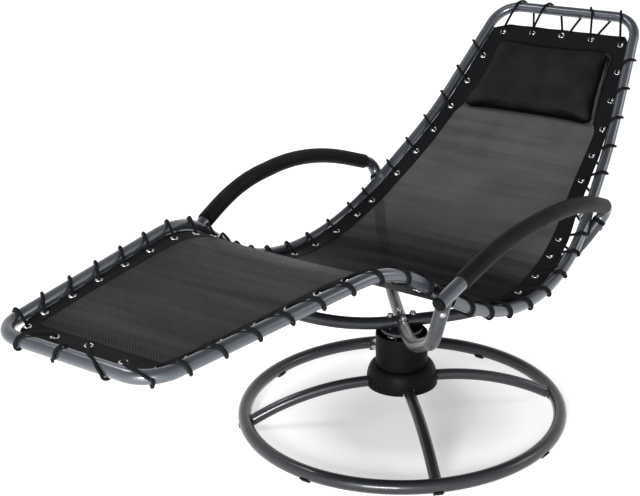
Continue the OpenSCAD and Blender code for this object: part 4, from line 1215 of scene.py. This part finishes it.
# %% [markdown]
# The arm grips are foam sleeves pushed over the arm tubes. Their ends are cut square and their edges are
# soft, so the swept sleeve swells from the tube to its full thickness over a few millimetres.

# %% Arm grips
FOAM_T, FOAM_FROM = 3.5, 68
GRIP_STEPS = 150
ARM_GAP, ARM_LEAD = 16.5, 33
STRUT_GAP, STRUT_SLOPE = 2, math.radians(53)
CREST_R, MIDDLE_R, ELBOW_R = 555, 670, 30
ELBOW_UP, ELBOW_TAIL = 50, 10


def unit(v):
    return v.normalized()


UNDER_KNEE = unit(SEAT - KNEE)
ABOVE_SEAT = unit(BACK - SEAT)
SPACER_OUT = unit(Vector((0, 1, 0)) - UNDER_KNEE * UNDER_KNEE.y)
CREST = Vector((-142, 332, 529))
MIDDLE = Vector((131, 350, 534))
arm_at_spacer = KNEE + UNDER_KNEE * SPACER_AT + SPACER_OUT * (FRAME_R + BOW_R + ARM_GAP)
ARM_TIP = arm_at_spacer - unit(CREST - arm_at_spacer) * ARM_LEAD


def strut_way(angle):
    level = -math.cos(STRUT_SLOPE)
    return Vector((level * math.cos(angle), level * math.sin(angle), -math.sin(STRUT_SLOPE)))


def strut_centre(angle):
    way = strut_way(angle)
    out = -unit(way.cross(ABOVE_SEAT))
    return SEAT + ABOVE_SEAT * STRUT_AT + out * (FRAME_R + BOW_R + STRUT_GAP)


# The strut's place depends on the bow's angle and the other way round, so the two are settled in a few rounds.
bow_angle = math.radians(41)
for _ in range(8):
    centre = strut_centre(bow_angle)
    bow_angle = math.atan2(centre.y, centre.x)
DOWN_STRUT = strut_way(bow_angle)
ELBOW = strut_centre(bow_angle) - DOWN_STRUT * ELBOW_UP
arm_end = ELBOW + DOWN_STRUT * (ELBOW_UP + ELBOW_TAIL)
ARM = Route([ARM_TIP, CREST, MIDDLE, ELBOW, arm_end], [0, CREST_R, MIDDLE_R, ELBOW_R, 0])
GRIP_END = sum(piece[3] for piece in ARM.pieces[:5]) - 9


def grip_swell(share):
    ends = min(share, 1 - share) * (GRIP_END - FOAM_FROM)
    return 0.9 + 0.1 * min(1, math.sqrt(ends / 4))


for name, side in (("left", -1), ("right", 1)):
    places = [FOAM_FROM + (GRIP_END - FOAM_FROM) * i / GRIP_STEPS for i in range(GRIP_STEPS + 1)]
    line = [flip(ARM.at(s), side) for s in places]
    grip = sweep("arm_grip_" + name, [line], BOW_R + FOAM_T, sides=32, swell=grip_swell)
    dress(grip, GRIP_FOAM)
    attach(grip, "seat")
    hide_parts("arm_foam_" + name)
print("the bows cross at", round(math.degrees(bow_angle), 1), "degrees")

# %% [markdown]
# Two coil springs in the drum bring the seat back to level. Each is a swept wire whose end turns lie closed on each
# other. It stands from the yoke up to the rocker plate.

# %% Rocking springs
YOKE_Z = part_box("rock_spring_front")[0].z / MM
ROCKER_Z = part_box("rock_spring_front")[1].z / MM
WIRE_R, COIL_R, TURNS, SPRING_X = 1.75, 9, 6, 37


def spring_rise(turns):
    height = ROCKER_Z - YOKE_Z - 2 * WIRE_R
    closed = 2 * WIRE_R + 0.6
    if turns < 1:
        return closed * turns
    if turns > TURNS - 1:
        return height - closed * (TURNS - turns)
    return closed + (height - 2 * closed) / (TURNS - 2) * (turns - 1)


for name, x in (("front", -SPRING_X), ("rear", SPRING_X)):
    coil = []
    for i in range(TURNS * 20 + 1):
        turn = 2 * math.pi * i / 20
        z = YOKE_Z + WIRE_R + spring_rise(i / 20)
        coil.append(Vector((x + COIL_R * math.cos(turn), COIL_R * math.sin(turn), z)))
    spring = sweep("coil_" + name, [coil], WIRE_R, sides=10)
    dress(spring, BRIGHT_STEEL)
    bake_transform(spring)
    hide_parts("rock_spring_" + name)

# %% [markdown]
# The spokes are welded to the floor ring, and the bows to each other where they cross. A weld shows as a bead
# with small even ripples, swept along the line where the two tubes meet.

# %% Weld beads
RING_R, RING_TUBE, RING_Z = 355, 15, 18
SPOKE_TUBE, SPOKE_Z, SPOKE_LEVEL = 12.5, 89, 70
WELD_LOWEST = 4.5


def ring_clearance(p):
    return math.hypot(math.hypot(p.x, p.y) - RING_R, p.z - RING_Z) - RING_TUBE - 0.6


def spoke_weld(turn):
    """The closed line where a spoke's surface meets the ring's."""
    reach = RING_R - RING_TUBE - SPOKE_LEVEL
    drop = SPOKE_Z - RING_Z
    slope = math.asin(reach / ((reach**2 + drop**2) / (2 * drop)))
    ahead = Vector((math.cos(slope), 0, -math.sin(slope)))
    above = Vector((math.sin(slope), 0, math.cos(slope)))
    points = []
    for i in range(48):
        angle = 2 * math.pi * i / 48
        round_spoke = (Vector((0, 1, 0)) * math.cos(angle) + above * math.sin(angle)) * (SPOKE_TUBE + 0.4)
        near, far = -12.0, 30.0
        for _ in range(20):
            back = (near + far) / 2
            p = Vector((RING_R - RING_TUBE, 0, RING_Z)) + round_spoke - ahead * back
            near, far = (back, far) if ring_clearance(p) < 0 else (near, back)
        p.z = max(p.z, WELD_LOWEST)
        points.append(p)
    spin = Matrix.Rotation(turn, 3, "Z")
    return [spin @ p for p in points]


def bead_ripple(share):
    return 1 + 0.16 * math.sin(share * 2 * math.pi * 34)


def crossing_weld(reach, axis):
    """The saddle over the crossing, between two bows of the same radius."""
    bow_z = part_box("cross_bow_long")[0].z / MM + BOW_R
    angles = [math.radians(-32 + 244 * i / 60) for i in range(61)]
    return [Vector((0, 0, bow_z + (BOW_R + 0.5) * math.sin(a))) + axis * (reach * math.cos(a)) for a in angles]


ring_lines = [spoke_weld(math.radians(45 + 90 * k)) for k in range(4)]
ring_welds = sweep("ring_welds", ring_lines, 2.1, sides=8, closed=True, swell=bead_ripple)
dress(ring_welds, WELD_BEAD)
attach(ring_welds, "base")
saddles = [
    crossing_weld(BOW_R / math.sin(bow_angle) + 0.5, Vector((1, 0, 0))),
    crossing_weld(BOW_R / math.cos(bow_angle) + 0.5, Vector((0, 1, 0))),
]
bow_welds = sweep("bow_welds", saddles, 1.8, sides=8, swell=bead_ripple)
# The crossing welds take the bows' darker coat, which is painted shade.
dress(bow_welds, SHADED_BOW_TUBE)
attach(bow_welds, "seat")

# %% [markdown]
# The studio is a white floor without an edge and three soft lamps. The camera sees the floor glow white, and less
# so round the base, which paints a fixed shadow there beneath the real shadows that then show. The object gets only
# the plain light that the floor really sends back.

# %% Studio
# The glow is weakest near the axis and full from GLOW_TO out: a painted shadow round the base, which stays in place
# when the seat turns.
GLOW_UNDER_PAINTED_SHADOW, GLOW_FAR = 0.27, 1.0
GLOW_FROM, GLOW_TO = 0.16, 0.5


def seen_by_eye(tree):
    """1 for rays from the camera, from a mirror or through glass, and 0 for the rest."""
    path = tree.nodes.new("ShaderNodeLightPath")
    total = None
    for ray in ("Is Camera Ray", "Is Glossy Ray", "Is Transmission Ray"):
        if total is None:
            total = path.outputs[ray]
            continue
        both = tree.nodes.new("ShaderNodeMath")
        both.operation = "MAXIMUM"
        tree.links.new(total, both.inputs[0])
        tree.links.new(path.outputs[ray], both.inputs[1])
        total = both.outputs[0]
    return total


def add_floor():
    build = bmesh.new()
    bmesh.ops.create_grid(build, x_segments=1, y_segments=1, size=20)
    floor = piece_from(build, "studio_floor")
    paper = Finish("studio_paper", (0.8, 0.8, 0.8), 1.0)
    tree = paper.tree
    shown = tree.nodes.new("ShaderNodeAddShader")
    choice = tree.nodes.new("ShaderNodeMixShader")
    faint = paper.node("ShaderNodeBsdfDiffuse", inputs={"Color": (0.85, 0.85, 0.85, 1)})
    distance = paper.node("ShaderNodeVectorMath", {"operation": "LENGTH"}, {0: paper.place()}, output="Value")
    # Less glow near the axis is a painted shadow on the floor.
    strength = paper.remap(distance, GLOW_FROM, GLOW_TO, GLOW_UNDER_PAINTED_SHADOW, GLOW_FAR)
    glow = paper.node("ShaderNodeEmission", inputs={"Strength": strength})
    tree.links.new(faint.socket, shown.inputs[0])
    tree.links.new(glow.socket, shown.inputs[1])
    tree.links.new(seen_by_eye(tree), choice.inputs[0])
    tree.links.new(paper.shader.outputs[0], choice.inputs[1])
    tree.links.new(shown.outputs[0], choice.inputs[2])
    tree.links.new(choice.outputs[0], tree.nodes["Material Output"].inputs["Surface"])
    dress(floor, paper.material)


def add_world():
    """White all round and darker overhead, which gives the tubes their dark upper halves."""
    world = bpy.data.worlds.new("studio")
    bpy.context.scene.world = world
    world.use_nodes = True
    tree = world.node_tree
    tree.nodes.clear()
    output = tree.nodes.new("ShaderNodeOutputWorld")
    where = tree.nodes.new("ShaderNodeTexCoord")
    height = tree.nodes.new("ShaderNodeSeparateXYZ")
    tree.links.new(where.outputs["Generated"], height.inputs[0])
    backgrounds = []
    for low, high in ((0.28, 0.1), (1.0, 0.3)):
        strength = tree.nodes.new("ShaderNodeMapRange")
        for socket, number in zip(strength.inputs[1:5], (0.3, 0.8, low, high)):
            socket.default_value = number
        tree.links.new(height.outputs[2], strength.inputs[0])
        background = tree.nodes.new("ShaderNodeBackground")
        background.inputs["Color"].default_value = (1, 1, 1, 1)
        tree.links.new(strength.outputs[0], background.inputs["Strength"])
        backgrounds.append(background)
    choice = tree.nodes.new("ShaderNodeMixShader")
    tree.links.new(seen_by_eye(tree), choice.inputs[0])
    tree.links.new(backgrounds[0].outputs[0], choice.inputs[1])
    tree.links.new(backgrounds[1].outputs[0], choice.inputs[2])
    tree.links.new(choice.outputs[0], output.inputs["Surface"])


def add_lamp(name, place, aim, width, height, power):
    data = bpy.data.lights.new(name, "AREA")
    data.shape = "RECTANGLE"
    data.size, data.size_y = width, height
    data.energy = power
    lamp = link(bpy.data.objects.new(name, data))
    lamp.location = place
    lamp.rotation_euler = (Vector(aim) - Vector(place)).to_track_quat("-Z", "Y").to_euler()


add_floor()
add_world()
add_lamp("key_softbox", (-3.5, -1.3, 1.15), (0.3, 0, 0.6), 1.4, 0.7, 165)
add_lamp("back_softbox", (-0.75, 1.7, 3.1), (0.3, 0, 0.6), 1.2, 0.6, 24)
add_lamp("side_softbox", (1.8, -2.6, 1.9), (0.1, 0, 0.4), 1.2, 1.2, 16)
bpy.context.scene.view_settings.view_transform = "Standard"
